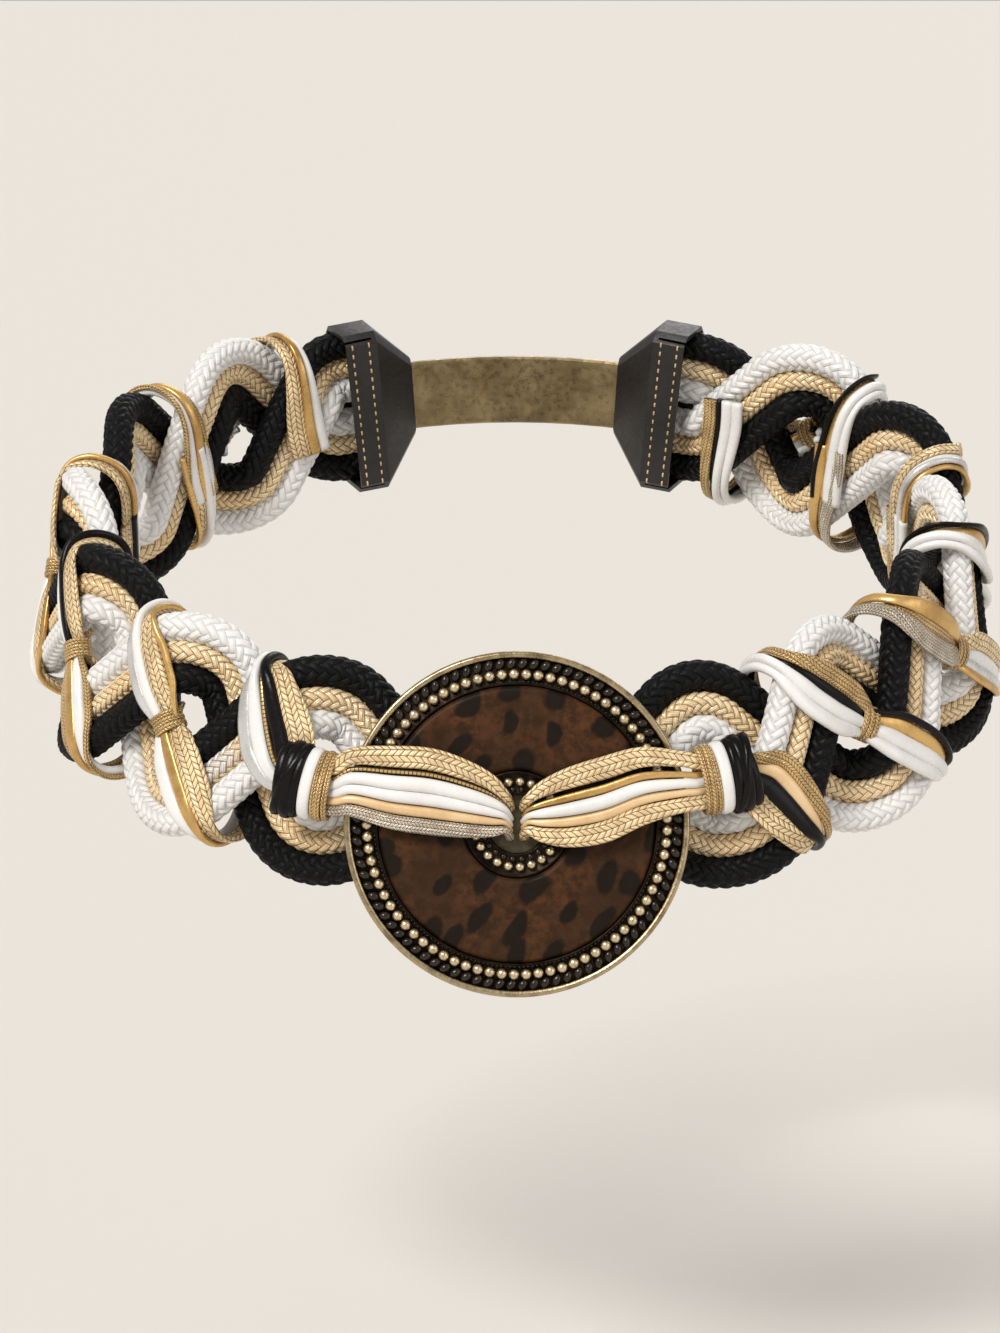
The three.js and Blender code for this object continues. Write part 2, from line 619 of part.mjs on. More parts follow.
// Leather tab that grips the cords' ends and holds the clasp. Its pocket is open towards the braid.
const TAB_START = CORD_END - TAB_POCKET;
const TAB_END = CORD_END + TAB_LENGTH - TAB_POCKET;
const CLASP_GRIP = 5;
const CLASP_DEPTH = MIDDLE_DEPTH;
function tab(side) {
  const [low, high] = [TAB_WALL / 2, MIDDLE_DEPTH + THICKEST + CLEARANCE];
  const inside = RUN_OFFSET + BUNDLE_HALF + CLEARANCE;
  const narrow = CLASP_WIDTH / 2 + TAB_WALL;
  const wideRing = (u) => beltRing(side * u, inside + TAB_WALL, low - TAB_WALL / 2, high + TAB_WALL, 3);
  const outer = loft([
    wideRing(TAB_START),
    wideRing(CORD_END + CLEARANCE + TAB_WALL),
    beltRing(side * TAB_END, narrow, CLASP_DEPTH - 2 * TAB_WALL, CLASP_DEPTH + 2 * TAB_WALL, 2),
  ]);
  const pocket = loft([TAB_START - 1, CORD_END + CLEARANCE].map((u) =>
    beltRing(side * u, inside, low, high, 0.5)));
  const slot = loft([TAB_END - CLASP_GRIP - CLEARANCE, TAB_END + 1].map((u) =>
    beltRing(side * u, CLASP_WIDTH / 2 + CLEARANCE, CLASP_DEPTH - CLASP_THICKNESS / 2 - CLEARANCE,
      CLASP_DEPTH + CLASP_THICKNESS / 2 + CLEARANCE, 0.5)));
  const solids = [outer, pocket, slot].map((g) => solidOf(side > 0 ? g : turnedInsideOut(g)));
  return geometryOf(solids[0].subtract(solids[1]).subtract(solids[2]));
}

function turnedInsideOut(geometry) {
  const index = Array.from(geometry.index.array);
  for (let i = 0; i < index.length; i += 3) {
    [index[i + 1], index[i + 2]] = [index[i + 2], index[i + 1]];
  }
  geometry.setIndex(index);
  return geometry;
}

function clasp() {
  const reach = HALF_LENGTH - (TAB_END - CLASP_GRIP);
  const steps = 4;
  const rings = [];
  for (let i = -steps; i <= steps; i++) {
    const u = HALF_LENGTH - reach + ((i + steps) / steps) * reach;
    const onward = u <= HALF_LENGTH ? u : u - 2 * HALF_LENGTH;
    rings.push(beltRing(onward, CLASP_WIDTH / 2, CLASP_DEPTH - CLASP_THICKNESS / 2,
      CLASP_DEPTH + CLASP_THICKNESS / 2, 0.6));
  }
  return loft(rings);
}

const belt = new THREE.Group();
belt.name = 'braided_belt';
function add(name, geometry, look) {
  const mesh = new THREE.Mesh(geometry, look);
  mesh.name = name;
  belt.add(mesh);
  return mesh;
}

// Cords: bundle A starts low to the right of the medallion and high to its left, bundle B the other way
const besideGold = {
  white: GOLD_RADIUS + WHITE_RADIUS + CLEARANCE,
  black: -(GOLD_RADIUS + BLACK_RADIUS + CLEARANCE),
};
const cordKinds = [
  { colour: 'white', radius: WHITE_RADIUS, beside: besideGold.white, sides: 7, look: material.whiteCord },
  { colour: 'gold', radius: GOLD_RADIUS, beside: 0, sides: 6, look: material.goldCord },
  { colour: 'black', radius: BLACK_RADIUS, beside: besideGold.black, sides: 7, look: material.blackCord },
];
for (const bundle of ['a', 'b']) {
  for (const kind of cordKinds) {
    const startsLow = bundle === 'a';
    const beside = kind.beside * (startsLow ? 1 : -1);
    const right = cordStations(bundleLines(startsLow), beside);
    const left = cordStations(bundleLines(!startsLow), -beside).map((s) => sided(-1, s));
    const stations = [...left.reverse(), ...right.slice(1)];
    const points = stations.map((s) => onBelt(s.u, s.v, s.w));
    add(`cord_${bundle}_${kind.colour}`, roundCord(points, kind.radius, kind.sides), kind.look);
  }
}

for (const side of [1, -1]) {
  const name = side > 0 ? 'right' : 'left';
  const stations = strapBand().map((s) => sided(side, s));
  add(`strap_band_${name}`, strap(stations), material.goldMesh);
  for (const collar of KNOT_COLLARS) {
    add(`${name}_knot_${collar.name}`, knotCollar(side, collar), material[collar.look]);
  }
  for (const strand of loopStrands(name, side)) add(strand.name, strand.geometry, material[strand.look]);
  add(`${name}_end_tab`, tab(side), material.blackLeather);
}

add('medallion_frame', turnedOnMedallion(medallionFrameProfile()), material.brass);
add('medallion_insert', turnedOnMedallion(insertProfile()), material.insert);
add('outer_bead_row', turnedOnMedallion(beadRidgeProfile(BEAD_RING_RADIUS, BEAD_RADIUS)), material.brass);
const hubRidge = beadRidgeProfile(HUB_BEAD_RING_RADIUS, HUB_BEAD_RADIUS);
add('hub_bead_row', turnedOnMedallion(hubRidge), material.brass);
const keeper = new THREE.CylinderGeometry(KEEPER_RADIUS, KEEPER_RADIUS, KEEPER_THICKNESS, 20);
keeper.rotateX(Math.PI / 2).translate(0, 0, -CLEARANCE - KEEPER_THICKNESS / 2).applyMatrix4(medallionFrame);
add('loop_keeper', keeper, material.brass);
add('back_clasp', clasp(), material.brass);

export default belt;
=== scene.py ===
# Looks of a braided cord belt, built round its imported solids. Metres, +Z up, the front faces -Y.
# Lengths below are in millimetres until they reach a mesh.
import math

import bmesh
import bpy
import numpy as np
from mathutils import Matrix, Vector


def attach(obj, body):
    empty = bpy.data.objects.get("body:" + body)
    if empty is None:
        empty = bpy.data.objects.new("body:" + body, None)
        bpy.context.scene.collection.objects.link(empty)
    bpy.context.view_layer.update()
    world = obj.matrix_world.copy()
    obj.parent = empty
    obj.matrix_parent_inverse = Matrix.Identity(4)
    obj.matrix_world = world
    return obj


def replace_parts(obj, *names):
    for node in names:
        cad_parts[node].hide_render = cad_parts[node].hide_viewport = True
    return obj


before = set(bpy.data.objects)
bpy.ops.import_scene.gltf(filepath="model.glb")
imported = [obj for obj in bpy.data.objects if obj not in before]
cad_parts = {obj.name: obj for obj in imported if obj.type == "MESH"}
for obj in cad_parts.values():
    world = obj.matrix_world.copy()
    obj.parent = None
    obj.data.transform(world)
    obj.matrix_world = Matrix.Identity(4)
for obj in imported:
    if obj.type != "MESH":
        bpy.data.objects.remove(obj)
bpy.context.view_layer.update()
MM = 0.001

# The belt's own sizes, as the solids have them
WAIST_HALF_WIDTH, WAIST_HALF_DEPTH, FRONT_DROP = 118.0, 92.0, 45.0
FLARE = math.radians(10)
BLACK_RADIUS, GOLD_RADIUS, WHITE_RADIUS = 4.2, 3.1, 4.0
CLEARANCE = 0.3
BEND_RADIUS = 15.0
RISE, FALL, LEAD = math.radians(56), math.radians(50), math.radians(35)
FIRST_CROSSING, CROSSINGS = 80.0, 6
LEAD_START, CORD_END_RUN = 41.5, 26.0
CLASP_GAP, TAB_LENGTH, TAB_POCKET, TAB_WALL = 66.5, 24.0, 9.0, 1.6
STRAP_BEHIND = 1.8
BACK_LAYER = 8.46
FRONT_LAYER = 17.46
STRAP_FRONT = 23.76
MIDDLE_DEPTH = (BACK_LAYER + FRONT_LAYER) / 2
MEDALLION_RADIUS, MEDALLION_BELOW, MEDALLION_THICKNESS = 48.0, 8.0, 3.0
MEDALLION_BACK = 14.86
KNOT_HALF_HEIGHT, KNOT_HALF_DEPTH, KNOT_WALL, KNOT_ABOVE_CORDS = 11.5, 7.2, 1.8, 4
KNOT_INSET = 0.7  # from the solid collar's outside to the middle of a turn
# Above the belt's middle line, on side 1 (right) and -1 (left), as the photo has it. The solids have 2.5 and -2.5.
KNOT_RAISE = {1: -0.6, -1: -2.3}
KNOT_DEPTH = BACK_LAYER + BLACK_RADIUS + CLEARANCE + KNOT_HALF_DEPTH + KNOT_ABOVE_CORDS


# Places on the belt: u along it from the front, v up across it, w out of it from the body
def unit(a):
    return a / np.linalg.norm(a, axis=-1, keepdims=True)


def square_to(a, line):
    """The share of a that stands square to a unit line, as a unit vector."""
    return unit(a - line * (a * line).sum(-1, keepdims=True))


def travelled(points):
    """How far along a line each of its points lies."""
    return np.concatenate([[0], np.cumsum(np.linalg.norm(np.diff(points, axis=0), axis=1))])


def round_angles(count):
    return np.arange(count) / count * 2 * math.pi


def waist_point(turn):
    return np.stack([WAIST_HALF_WIDTH * np.sin(turn), -WAIST_HALF_DEPTH * np.cos(turn),
                     -FRONT_DROP * np.cos(turn)], -1)


def waist_axes(turn):
    s, c = np.sin(turn), np.cos(turn)
    along = unit(np.stack([WAIST_HALF_WIDTH * c, WAIST_HALF_DEPTH * s, FRONT_DROP * s], -1))
    out = unit(np.stack([WAIST_HALF_DEPTH * s, -WAIST_HALF_WIDTH * c, 0 * s], -1))
    out = out * math.cos(FLARE) + np.array([0, 0, math.sin(FLARE)])
    out = square_to(out, along)
    return along, out, unit(np.cross(out, along))


TURNS = np.linspace(0, math.pi, 721)
_middle = waist_point(TURNS) + waist_axes(TURNS)[1] * MIDDLE_DEPTH
LENGTHS = travelled(_middle)
HALF_LENGTH = LENGTHS[-1]
LAST_CROSSING = HALF_LENGTH - CLASP_GAP / 2 - (TAB_LENGTH - TAB_POCKET) - CORD_END_RUN
PITCH = (LAST_CROSSING - FIRST_CROSSING) / (CROSSINGS - 1)


def turn_at(u):
    u = np.asarray(u, float)
    return np.sign(u) * np.interp(np.abs(u), LENGTHS, TURNS)


def on_belt(u, v, w):
    turn = turn_at(u)
    _, out, across = waist_axes(turn)
    return waist_point(turn) + across * np.asarray(v, float)[..., None] + out * np.asarray(w, float)[..., None]


MEDALLION_AT = on_belt(0.0, -MEDALLION_BELOW, MEDALLION_BACK)
MEDALLION_X, MEDALLION_Z, MEDALLION_Y = waist_axes(np.float64(0))


def on_medallion(x, y, z):
    """x to the right and y up on its face, z out of its back plane."""
    x, y, z = (np.asarray(a, float)[..., None] for a in (x, y, z))
    return MEDALLION_AT + MEDALLION_X * x + MEDALLION_Y * y + MEDALLION_Z * z


# Meshes
def placed(name, data):
    """A new object in the scene."""
    obj = bpy.data.objects.new(name, data)
    bpy.context.scene.collection.objects.link(obj)
    return obj


def add_mesh(name, points, faces, uvs, look, attributes=None):
    """points in millimetres; uvs are one pair for each point, or one for each face corner."""
    mesh = bpy.data.meshes.new(name)
    mesh.from_pydata((np.asarray(points) * MM).tolist(), [], faces)
    layer = mesh.uv_layers.new(name="UVMap")
    loops = np.zeros(len(mesh.loops), np.int32)
    mesh.loops.foreach_get("vertex_index", loops)
    flat = uvs if len(uvs) == len(mesh.loops) else np.asarray(uvs)[loops]
    layer.data.foreach_set("uv", np.asarray(flat, np.float32).ravel())
    for key, values in (attributes or {}).items():
        mesh.attributes.new(key, "FLOAT", "POINT").data.foreach_set("value", np.asarray(values, np.float32))
    mesh.polygons.foreach_set("use_smooth", [True] * len(mesh.polygons))
    obj = placed(name, mesh)
    mesh.materials.append(look)
    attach(obj, "root")
    return obj


def grid_faces(rows, columns, closed_rows=False):
    """Quads between rows of points. Each row closes on itself."""
    faces = []
    for r in range(rows if closed_rows else rows - 1):
        for c in range(columns):
            a, b = r * columns + c, r * columns + (c + 1) % columns
            d = ((r + 1) % rows) * columns + c
            e = ((r + 1) % rows) * columns + (c + 1) % columns
            faces.append((a, b, e, d))
    return faces


class Batch:
    """Many tubes or beads gathered into one mesh."""

    def __init__(self):
        self.points, self.faces, self.uvs, self.extra, self.count = [], [], [], {}, 0

    def add(self, points, faces, corner_uvs, **extra):
        self.points.append(points)
        self.faces += [tuple(i + self.count for i in f) for f in faces]
        self.uvs.append(corner_uvs)
        for key, value in extra.items():
            self.extra.setdefault(key, []).append(np.full(len(points), float(value)))
        self.count += len(points)

    def make(self, name, slot, look):
        extra = {k: np.concatenate(v) for k, v in self.extra.items()}
        return add_mesh(name, np.concatenate(self.points), self.faces, np.concatenate(self.uvs),
                        look=look, attributes=extra)


def tube(centre, side, up, section, closed=False):
    """Rings of section points (rows of a and b) round a centre line. side and up are unit vectors for
    each ring. section is rings x points x 2. Returns points, faces and corner uvs in millimetres."""
    rings, sides = section.shape[:2]
    points = centre[:, None] + side[:, None] * section[..., 0:1] + up[:, None] * section[..., 1:2]
    line = np.concatenate([centre, centre[:1]]) if closed else centre
    s = travelled(line)
    around = np.linalg.norm(np.diff(np.concatenate([section, section[:, :1]], 1), axis=1), axis=2)
    v = np.concatenate([np.zeros((rings, 1)), np.cumsum(around, 1)], 1)
    faces, uvs = [], []
    for r in range(len(line) - 1):
        q = (r + 1) % rings
        for c in range(sides):
            d = (c + 1) % sides
            faces.append((r * sides + c, r * sides + d, q * sides + d, q * sides + c))
            uvs += [(s[r], v[r, c]), (s[r], v[r, c + 1]), (s[r + 1], v[q, c + 1]), (s[r + 1], v[q, c])]
    if not closed:
        last = (rings - 1) * sides
        faces += [tuple(range(sides))[::-1], tuple(range(last, last + sides))]
        uvs += [(s[0], 0)] * sides + [(s[-1], 0)] * sides
    uvs = np.array(uvs)
    if (np.cross(side, up) * np.gradient(centre, axis=0)).sum() < 0:
        quads = 4 * sides * (len(line) - 1)
        uvs[:quads] = uvs[:quads].reshape(-1, 4, 2)[:, ::-1].reshape(-1, 2)
        faces = [face[::-1] for face in faces]
    return points.reshape(-1, 3), faces, uvs


def ease(t):
    t = np.clip(t, 0, 1)
    return t * t * (3 - 2 * t)


# Cords: their routes are straight lines joined by round bends, as the solids have them
BUNDLE_HALF = BLACK_RADIUS + GOLD_RADIUS + WHITE_RADIUS + CLEARANCE
RUN_GAP = 1.2  # from the middle line to a bundle that runs beside it
RUN_OFFSET = BUNDLE_HALF + RUN_GAP
LAYER_HOLD = 0.12  # share of a bend that still lies in the front layer
ROUTE_STEP, ROUTE_SMOOTHING = 0.6, 14
CORD_SWELL, RELIEF_SUNK, RELIEF_RAISED = 0.15, 0.7, 1.3  # the last two are shares of a cord's relief
SILVER_FROM, SILVER_TO, SILVER_IN_FRONT = 106, 78, 15  # left of the middle, and out from the body


def bundle_lines(starts_low):
    way = -1 if starts_low else 1
    lines = [(0, way * RUN_OFFSET, 0, BACK_LAYER), (LEAD_START, way * RUN_OFFSET, way * LEAD, BACK_LAYER)]
    for k in range(CROSSINGS):
        rises = (k % 2 == 0) == starts_low
        lines.append((FIRST_CROSSING + k * PITCH, 0, RISE if rises else -FALL,
                      FRONT_LAYER if rises else BACK_LAYER))
    ends_high = (CROSSINGS % 2 == 1) == starts_low
    last = FIRST_CROSSING + (CROSSINGS - 1) * PITCH
    lines.append((last + CORD_END_RUN, (1 if ends_high else -1) * RUN_OFFSET, 0, MIDDLE_DEPTH))
    return lines


def half_route(starts_low, beside, step):
    lines = bundle_lines(starts_low)
    route = []

    def beside_point(line):
        u, v, heading, w = line
        return (u - math.sin(heading) * beside, v + math.cos(heading) * beside, w)

    def straight_to(end):
        start = route[-1]
        n = max(1, int(round(math.hypot(end[0] - start[0], end[1] - start[1]) / step)))
        for i in range(1, n + 1):
            route.append(tuple(a + (b - a) * i / n for a, b in zip(start, end)))

    route.append(beside_point(lines[0]))
    for before, after in zip(lines, lines[1:]):
        turned = after[2] - before[2]
        left = 1 if turned > 0 else -1
        d1, d2 = [(math.cos(line[2]), math.sin(line[2])) for line in (before, after)]
        cross = d1[0] * d2[1] - d1[1] * d2[0]
        t = ((after[0] - before[0]) * d2[1] - (after[1] - before[1]) * d2[0]) / cross
        at = (before[0] + d1[0] * t, before[1] + d1[1] * t)
        middle = (before[2] + after[2]) / 2 + left * math.pi / 2
        away = BEND_RADIUS / math.cos(turned / 2)
        centre = (at[0] + math.cos(middle) * away, at[1] + math.sin(middle) * away)
        radius = BEND_RADIUS - left * beside
        n = max(8, int(round(abs(turned) * radius / step)))
        for i in range(n + 1):
            heading = before[2] + turned * i / n
            share = i / n if before[3] > after[3] else 1 - i / n
            eased = ease((share - LAYER_HOLD) / (1 - LAYER_HOLD))
            high, low = max(before[3], after[3]), min(before[3], after[3])
            place = (centre[0] + math.sin(heading) * left * radius, centre[1] - math.cos(heading) * left * radius,
                     high + (low - high) * float(eased))
            if i == 0:
                straight_to(place)
            else:
                route.append(place)
    straight_to(beside_point(lines[-1]))
    return np.array(route)


def even_steps(route, step):
    """The same route with points at even distances, in 3D."""
    points = on_belt(route[:, 0], route[:, 1], route[:, 2])
    s = travelled(points)
    at = np.linspace(0, s[-1], int(round(s[-1] / step)) + 1)
    return at, np.stack([np.interp(at, s, route[:, i]) for i in range(3)], 1)


def smoothed(values, passes):
    for _ in range(passes):
        values[1:-1] = (values[:-2] + 2 * values[1:-1] + values[2:]) / 4
    return values


def scales(a, b):
    """Height, 0 to 1, of a round braid's strands, over two and under two. a counts round the cord, b along."""
    first, second = a + b, a - b
    i, j = np.floor(first), np.floor(second)
    turn = (i + j) % 4
    over = turn < 1.5
    across = np.where(over, first - i, second - j)
    along = np.where(over, turn + second - j, turn - 2 + first - i) / 2
    hump = lambda t, p: np.clip(1 - np.abs(2 * t - 1) ** p, 0, 1)
    return hump(across, 2.2) ** 0.8 * hump(along, 3.0) ** 0.7


def braided_cord(name, bundle_low, beside, radius, step, sides, round_count, scale_length, relief, look, slot):
    right = half_route(bundle_low, beside, ROUTE_STEP)
    left = half_route(not bundle_low, -beside, ROUTE_STEP)
    left[:, :2] *= -1
    s, route = even_steps(np.concatenate([left[::-1], right[1:]]), step)
    route[:, 2] = smoothed(route[:, 2].copy(), ROUTE_SMOOTHING)
    centre = on_belt(route[:, 0], route[:, 1], route[:, 2])
    tangent = unit(np.gradient(centre, axis=0))
    out = waist_axes(turn_at(route[:, 0]))[1]
    out = square_to(out, tangent)
    side = np.cross(tangent, out)
    angle = round_angles(sides)
    around = angle / (2 * math.pi) * round_count
    height = scales(around[None], (s / scale_length)[:, None])
    r = radius + CORD_SWELL - relief * RELIEF_SUNK + relief * RELIEF_RAISED * height
    section = np.stack([r * np.sin(angle), r * np.cos(angle)], -1)
    points = centre[:, None] + side[:, None] * section[..., 0:1] + out[:, None] * section[..., 1:2]
    rings = len(s)
    faces = grid_faces(rings, sides)
    columns = np.arange(sides + 1) / sides * round_count
    corner = []
    for rr in range(rings - 1):
        b0, b1 = s[rr] / scale_length, s[rr + 1] / scale_length
        for c in range(sides):
            corner += [(b0, columns[c]), (b0, columns[c + 1]), (b1, columns[c + 1]), (b1, columns[c])]
    last = (rings - 1) * sides
    faces += [tuple(range(sides))[::-1], tuple(range(last, last + sides))]
    corner += [(0, 0)] * (2 * sides)
    # one stretch of the gold cord beside the left knot turns pale silver-grey on its side facing out from the body
    u, w = route[:, 0], route[:, 2]
    near = ease((u + SILVER_FROM) / 4) * ease((-u - SILVER_TO) / 4) * ease((w - SILVER_IN_FRONT) / 2)
    facing = ease((np.cos(angle + 0.6) + 0.25) / 0.5)
    extra = {"silver": (near[:, None] * facing[None]).ravel()} if slot == "gold_cord" else None
    obj = add_mesh(name + "_braid", points.reshape(-1, 3), faces, np.array(corner), look=look,
                   attributes=extra)
    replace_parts(obj, name)
    return obj


# Materials. Everything is worked out from the surface's own coordinates.
class Look:
    """A material and the few node calls that its patterns are made of."""

    def __init__(self, name, base, roughness, metallic=0.0, **sockets):
        self.material = bpy.data.materials.new(name)
        self.material.use_nodes = True
        self.tree = self.material.node_tree
        self.shader = self.tree.nodes["Principled BSDF"]
        self.shader.inputs["Base Color"].default_value = (*base, 1)
        self.shader.inputs["Roughness"].default_value = roughness
        self.shader.inputs["Metallic"].default_value = metallic
        for key, value in sockets.items():
            self.shader.inputs[key.replace("_", " ")].default_value = value

    def node(self, kind, **values):
        node = self.tree.nodes.new(kind)
        for key, value in values.items():
            setattr(node, key, value)
        return node

    def put(self, socket, value):
        if isinstance(value, bpy.types.NodeSocket):
            self.tree.links.new(value, socket)
        else:
            socket.default_value = value

    def math(self, operation, a, b=0.0, c=0.0, clamp=False):
        node = self.node("ShaderNodeMath", operation=operation, use_clamp=clamp)
        for socket, value in zip(node.inputs, (a, b, c)):
            self.put(socket, value)
        return node.outputs[0]

    def uv(self):
        split = self.node("ShaderNodeSeparateXYZ")
        self.tree.links.new(self.node("ShaderNodeTexCoord").outputs["UV"], split.inputs[0])
        return split.outputs["X"], split.outputs["Y"]

    def noise(self, scale, detail=3.0, roughness=0.5):
        node = self.node("ShaderNodeTexNoise")
        self.tree.links.new(self.node("ShaderNodeTexCoord").outputs["Object"], node.inputs["Vector"])
        node.inputs["Scale"].default_value = scale
        node.inputs["Detail"].default_value = detail
        node.inputs["Roughness"].default_value = roughness
        return node.outputs["Fac"]

    def ramp(self, value, low, high, to_low=0.0, to_high=1.0):
        node = self.node("ShaderNodeMapRange", interpolation_type="SMOOTHSTEP")
        for key, number in (("From Min", low), ("From Max", high), ("To Min", to_low), ("To Max", to_high)):
            node.inputs[key].default_value = number
        self.put(node.inputs["Value"], value)
        return node.outputs[0]

    def blend(self, factor, first, second):
        node = self.node("ShaderNodeMix", data_type="RGBA")
        self.put(node.inputs["Factor"], factor)
        for key, colour in (("A", first), ("B", second)):
            socket = [s for s in node.inputs if s.name == key and s.type == "RGBA"][0]
            self.put(socket, colour if isinstance(colour, bpy.types.NodeSocket) else (*colour, 1))
        return [s for s in node.outputs if s.type == "RGBA"][0]

    def hump(self, t, power):
        """1 in the middle of 0 to 1, and 0 at its ends."""
        off = self.math("ABSOLUTE", self.math("MULTIPLY_ADD", t, 2.0, -1.0))
        return self.math("SUBTRACT", 1.0, self.math("POWER", off, power), clamp=True)

    def colour(self, value):
        self.tree.links.new(value, self.shader.inputs["Base Color"])

    def rough(self, value):
        self.tree.links.new(value, self.shader.inputs["Roughness"])

    def bump(self, height, depth_mm):
        node = self.node("ShaderNodeBump")
        node.inputs["Strength"].default_value = 1.0
        node.inputs["Distance"].default_value = depth_mm * MM
        self.tree.links.new(height, node.inputs["Height"])
        self.tree.links.new(node.outputs[0], self.shader.inputs["Normal"])

    def either(self, switch, if_one, if_zero):
        return self.math("ADD", self.math("MULTIPLY", switch, if_one),
                         self.math("MULTIPLY", self.math("SUBTRACT", 1.0, switch), if_zero))


THREADS = 3  # side by side in a strand of a braid


def cord_look(name, light, dark, roughness, metallic=0.0, thread_depth=0.5, patch=None, silver=False, **sockets):
    """A round braid: uv counts scales along and round the cord, as the mesh's relief does."""
    look = Look(name, light, roughness, metallic, **sockets)
    along, around = look.uv()
    first, second = look.math("ADD", around, along), look.math("SUBTRACT", around, along)
    fa, fb = look.math("FRACT", first), look.math("FRACT", second)
    cells = look.math("ADD", look.math("FLOOR", first), look.math("FLOOR", second))
    turn = look.math("FLOORED_MODULO", cells, 4.0)
    over = look.math("LESS_THAN", turn, 1.5)
    across = look.either(over, fa, fb)
    length = look.math("MULTIPLY", 0.5, look.either(over, look.math("ADD", turn, fb),
                                                    look.math("ADD", look.math("SUBTRACT", turn, 2.0), fa)))
    scale = look.math("MULTIPLY", look.hump(across, 2.6), look.hump(length, 6.0))
    wave = look.math("SINE", look.math("MULTIPLY", across, 2 * math.pi * THREADS))
    height = look.math("MULTIPLY_ADD", wave, 0.16 * thread_depth, scale)
    grain = look.noise(900.0, 2.0)
    height = look.math("MULTIPLY_ADD", grain, 0.25, height)
    patchy = look.ramp(look.noise(70.0, 2.0), 0.3, 0.7)
    # Painted shade: the gaps between the scales take the dark colour, as shade in the crevices of the braid.
    painted_scale_gap_shade = look.ramp(scale, 0.0, 0.42)
    middle = tuple(0.5 * a + 0.5 * b for a, b in zip(light, dark))
    lighter = look.blend(patchy, tuple(c * 0.9 for c in light), light) if patch is None else \
        look.blend(patchy, patch, light)
    if silver:
        lighter = look.blend(look.node("ShaderNodeAttribute", attribute_name="silver").outputs["Fac"], lighter,
                             (0.80, 0.80, 0.79))
    # Painted shade: the grooves between the threads of a strand are darkened toward the middle colour.
    painted_thread_gap_shade = look.ramp(wave, -1.0, -0.2)
    body = look.blend(painted_thread_gap_shade, middle, lighter)
    look.colour(look.blend(painted_scale_gap_shade, dark, body))
    look.rough(look.ramp(grain, 0.25, 0.75, roughness - 0.08, roughness + 0.1))
    look.bump(height, 0.32)
    return look.material


def mesh_look(name, light, dark, roughness, metallic, column=1.75, pitch=1.95, **sockets):
    """A flat braid of metallic thread: uv in millimetres, columns of scales that slant by turns."""
    look = Look(name, light, roughness, metallic, **sockets)
    along, around = look.uv()
    warp = look.math("MULTIPLY", look.math("SUBTRACT", look.noise(260.0, 2.0), 0.5), 0.9)
    q = look.math("DIVIDE", around, column)
    fraction = look.math("FRACT", q)
    odd = look.math("FLOORED_MODULO", look.math("FLOOR", q), 2.0)
    lean = look.math("MULTIPLY_ADD", odd, 2.0, -1.0)
    line = look.math("MULTIPLY_ADD", look.math("MULTIPLY", lean, fraction), 0.85,
                     look.math("DIVIDE", look.math("ADD", along, warp), pitch))
    stripe = look.math("FRACT", line)
    scale = look.math("MULTIPLY", look.hump(stripe, 2.4), look.hump(fraction, 4.0))
    thread = look.math("SINE", look.math("MULTIPLY", stripe, 2 * math.pi * THREADS))
    height = look.math("MULTIPLY_ADD", thread, 0.1, scale)
    grain = look.noise(1500.0, 2.0)
    height = look.math("MULTIPLY_ADD", grain, 0.3, height)
    middle = tuple(0.6 * a + 0.4 * b for a, b in zip(light, dark))
    body = look.blend(look.ramp(look.noise(150.0, 3.0), 0.3, 0.7), middle, light)
    # Painted shade: the gaps between the scales take the dark colour, as shade in the crevices.
    look.colour(look.blend(look.ramp(scale, 0.05, 0.5), dark, body))
    look.rough(look.ramp(grain, 0.25, 0.75, roughness - 0.1, roughness + 0.12))
    look.bump(height, 0.3)
    return look.material


def leather_look(name, light, dark, roughness, depth=0.05, **sockets):
    """Smooth leather: fine grain, and soft creases over broad patches of tone."""
    look = Look(name, light, roughness, **sockets)
    fine = look.noise(700.0, 4.0, 0.6)
    broad = look.noise(55.0, 3.0)
    creases = look.noise(190.0, 5.0, 0.65)
    mixed = look.math("MULTIPLY_ADD", creases, 0.35, look.math("MULTIPLY", broad, 1 - 0.35))
    tone = look.ramp(mixed, 0.3, 0.62)
    look.colour(look.blend(tone, dark, light))
    look.rough(look.ramp(fine, 0.25, 0.75, roughness - 0.06, roughness + 0.12))
    height = look.math("MULTIPLY_ADD", creases, 1.6, fine)
    look.bump(height, depth)
    return look.material


def piping_look():
    """Dark piping with a row of gold stitches on its face. uv in millimetres."""
    look = Look("dark_piping", (0.01, 0.008, 0.007), 0.4, Specular_IOR_Level=0.3)
    along, around = look.uv()
    stitch = look.hump(look.math("FRACT", look.math("DIVIDE", along, 1.15)), 3.0)
    near = look.ramp(look.math("ABSOLUTE", look.math("SUBTRACT", around, 1.55)), 0.3, 0.75, 1.0, 0.0)
    dot = look.math("MULTIPLY", look.ramp(stitch, 0.25, 0.6), near)
    tone = look.ramp(look.noise(300.0, 3.0), 0.3, 0.7)
    look.colour(look.blend(dot, look.blend(tone, (0.012, 0.008, 0.006), (0.035, 0.022, 0.012)), (0.74, 0.5, 0.22)))
    look.rough(look.ramp(dot, 0.0, 1.0, 0.42, 0.28))
    look.tree.links.new(look.math("MULTIPLY", dot, 0.7), look.shader.inputs["Metallic"])
    look.bump(dot, 0.2)
    return look.material


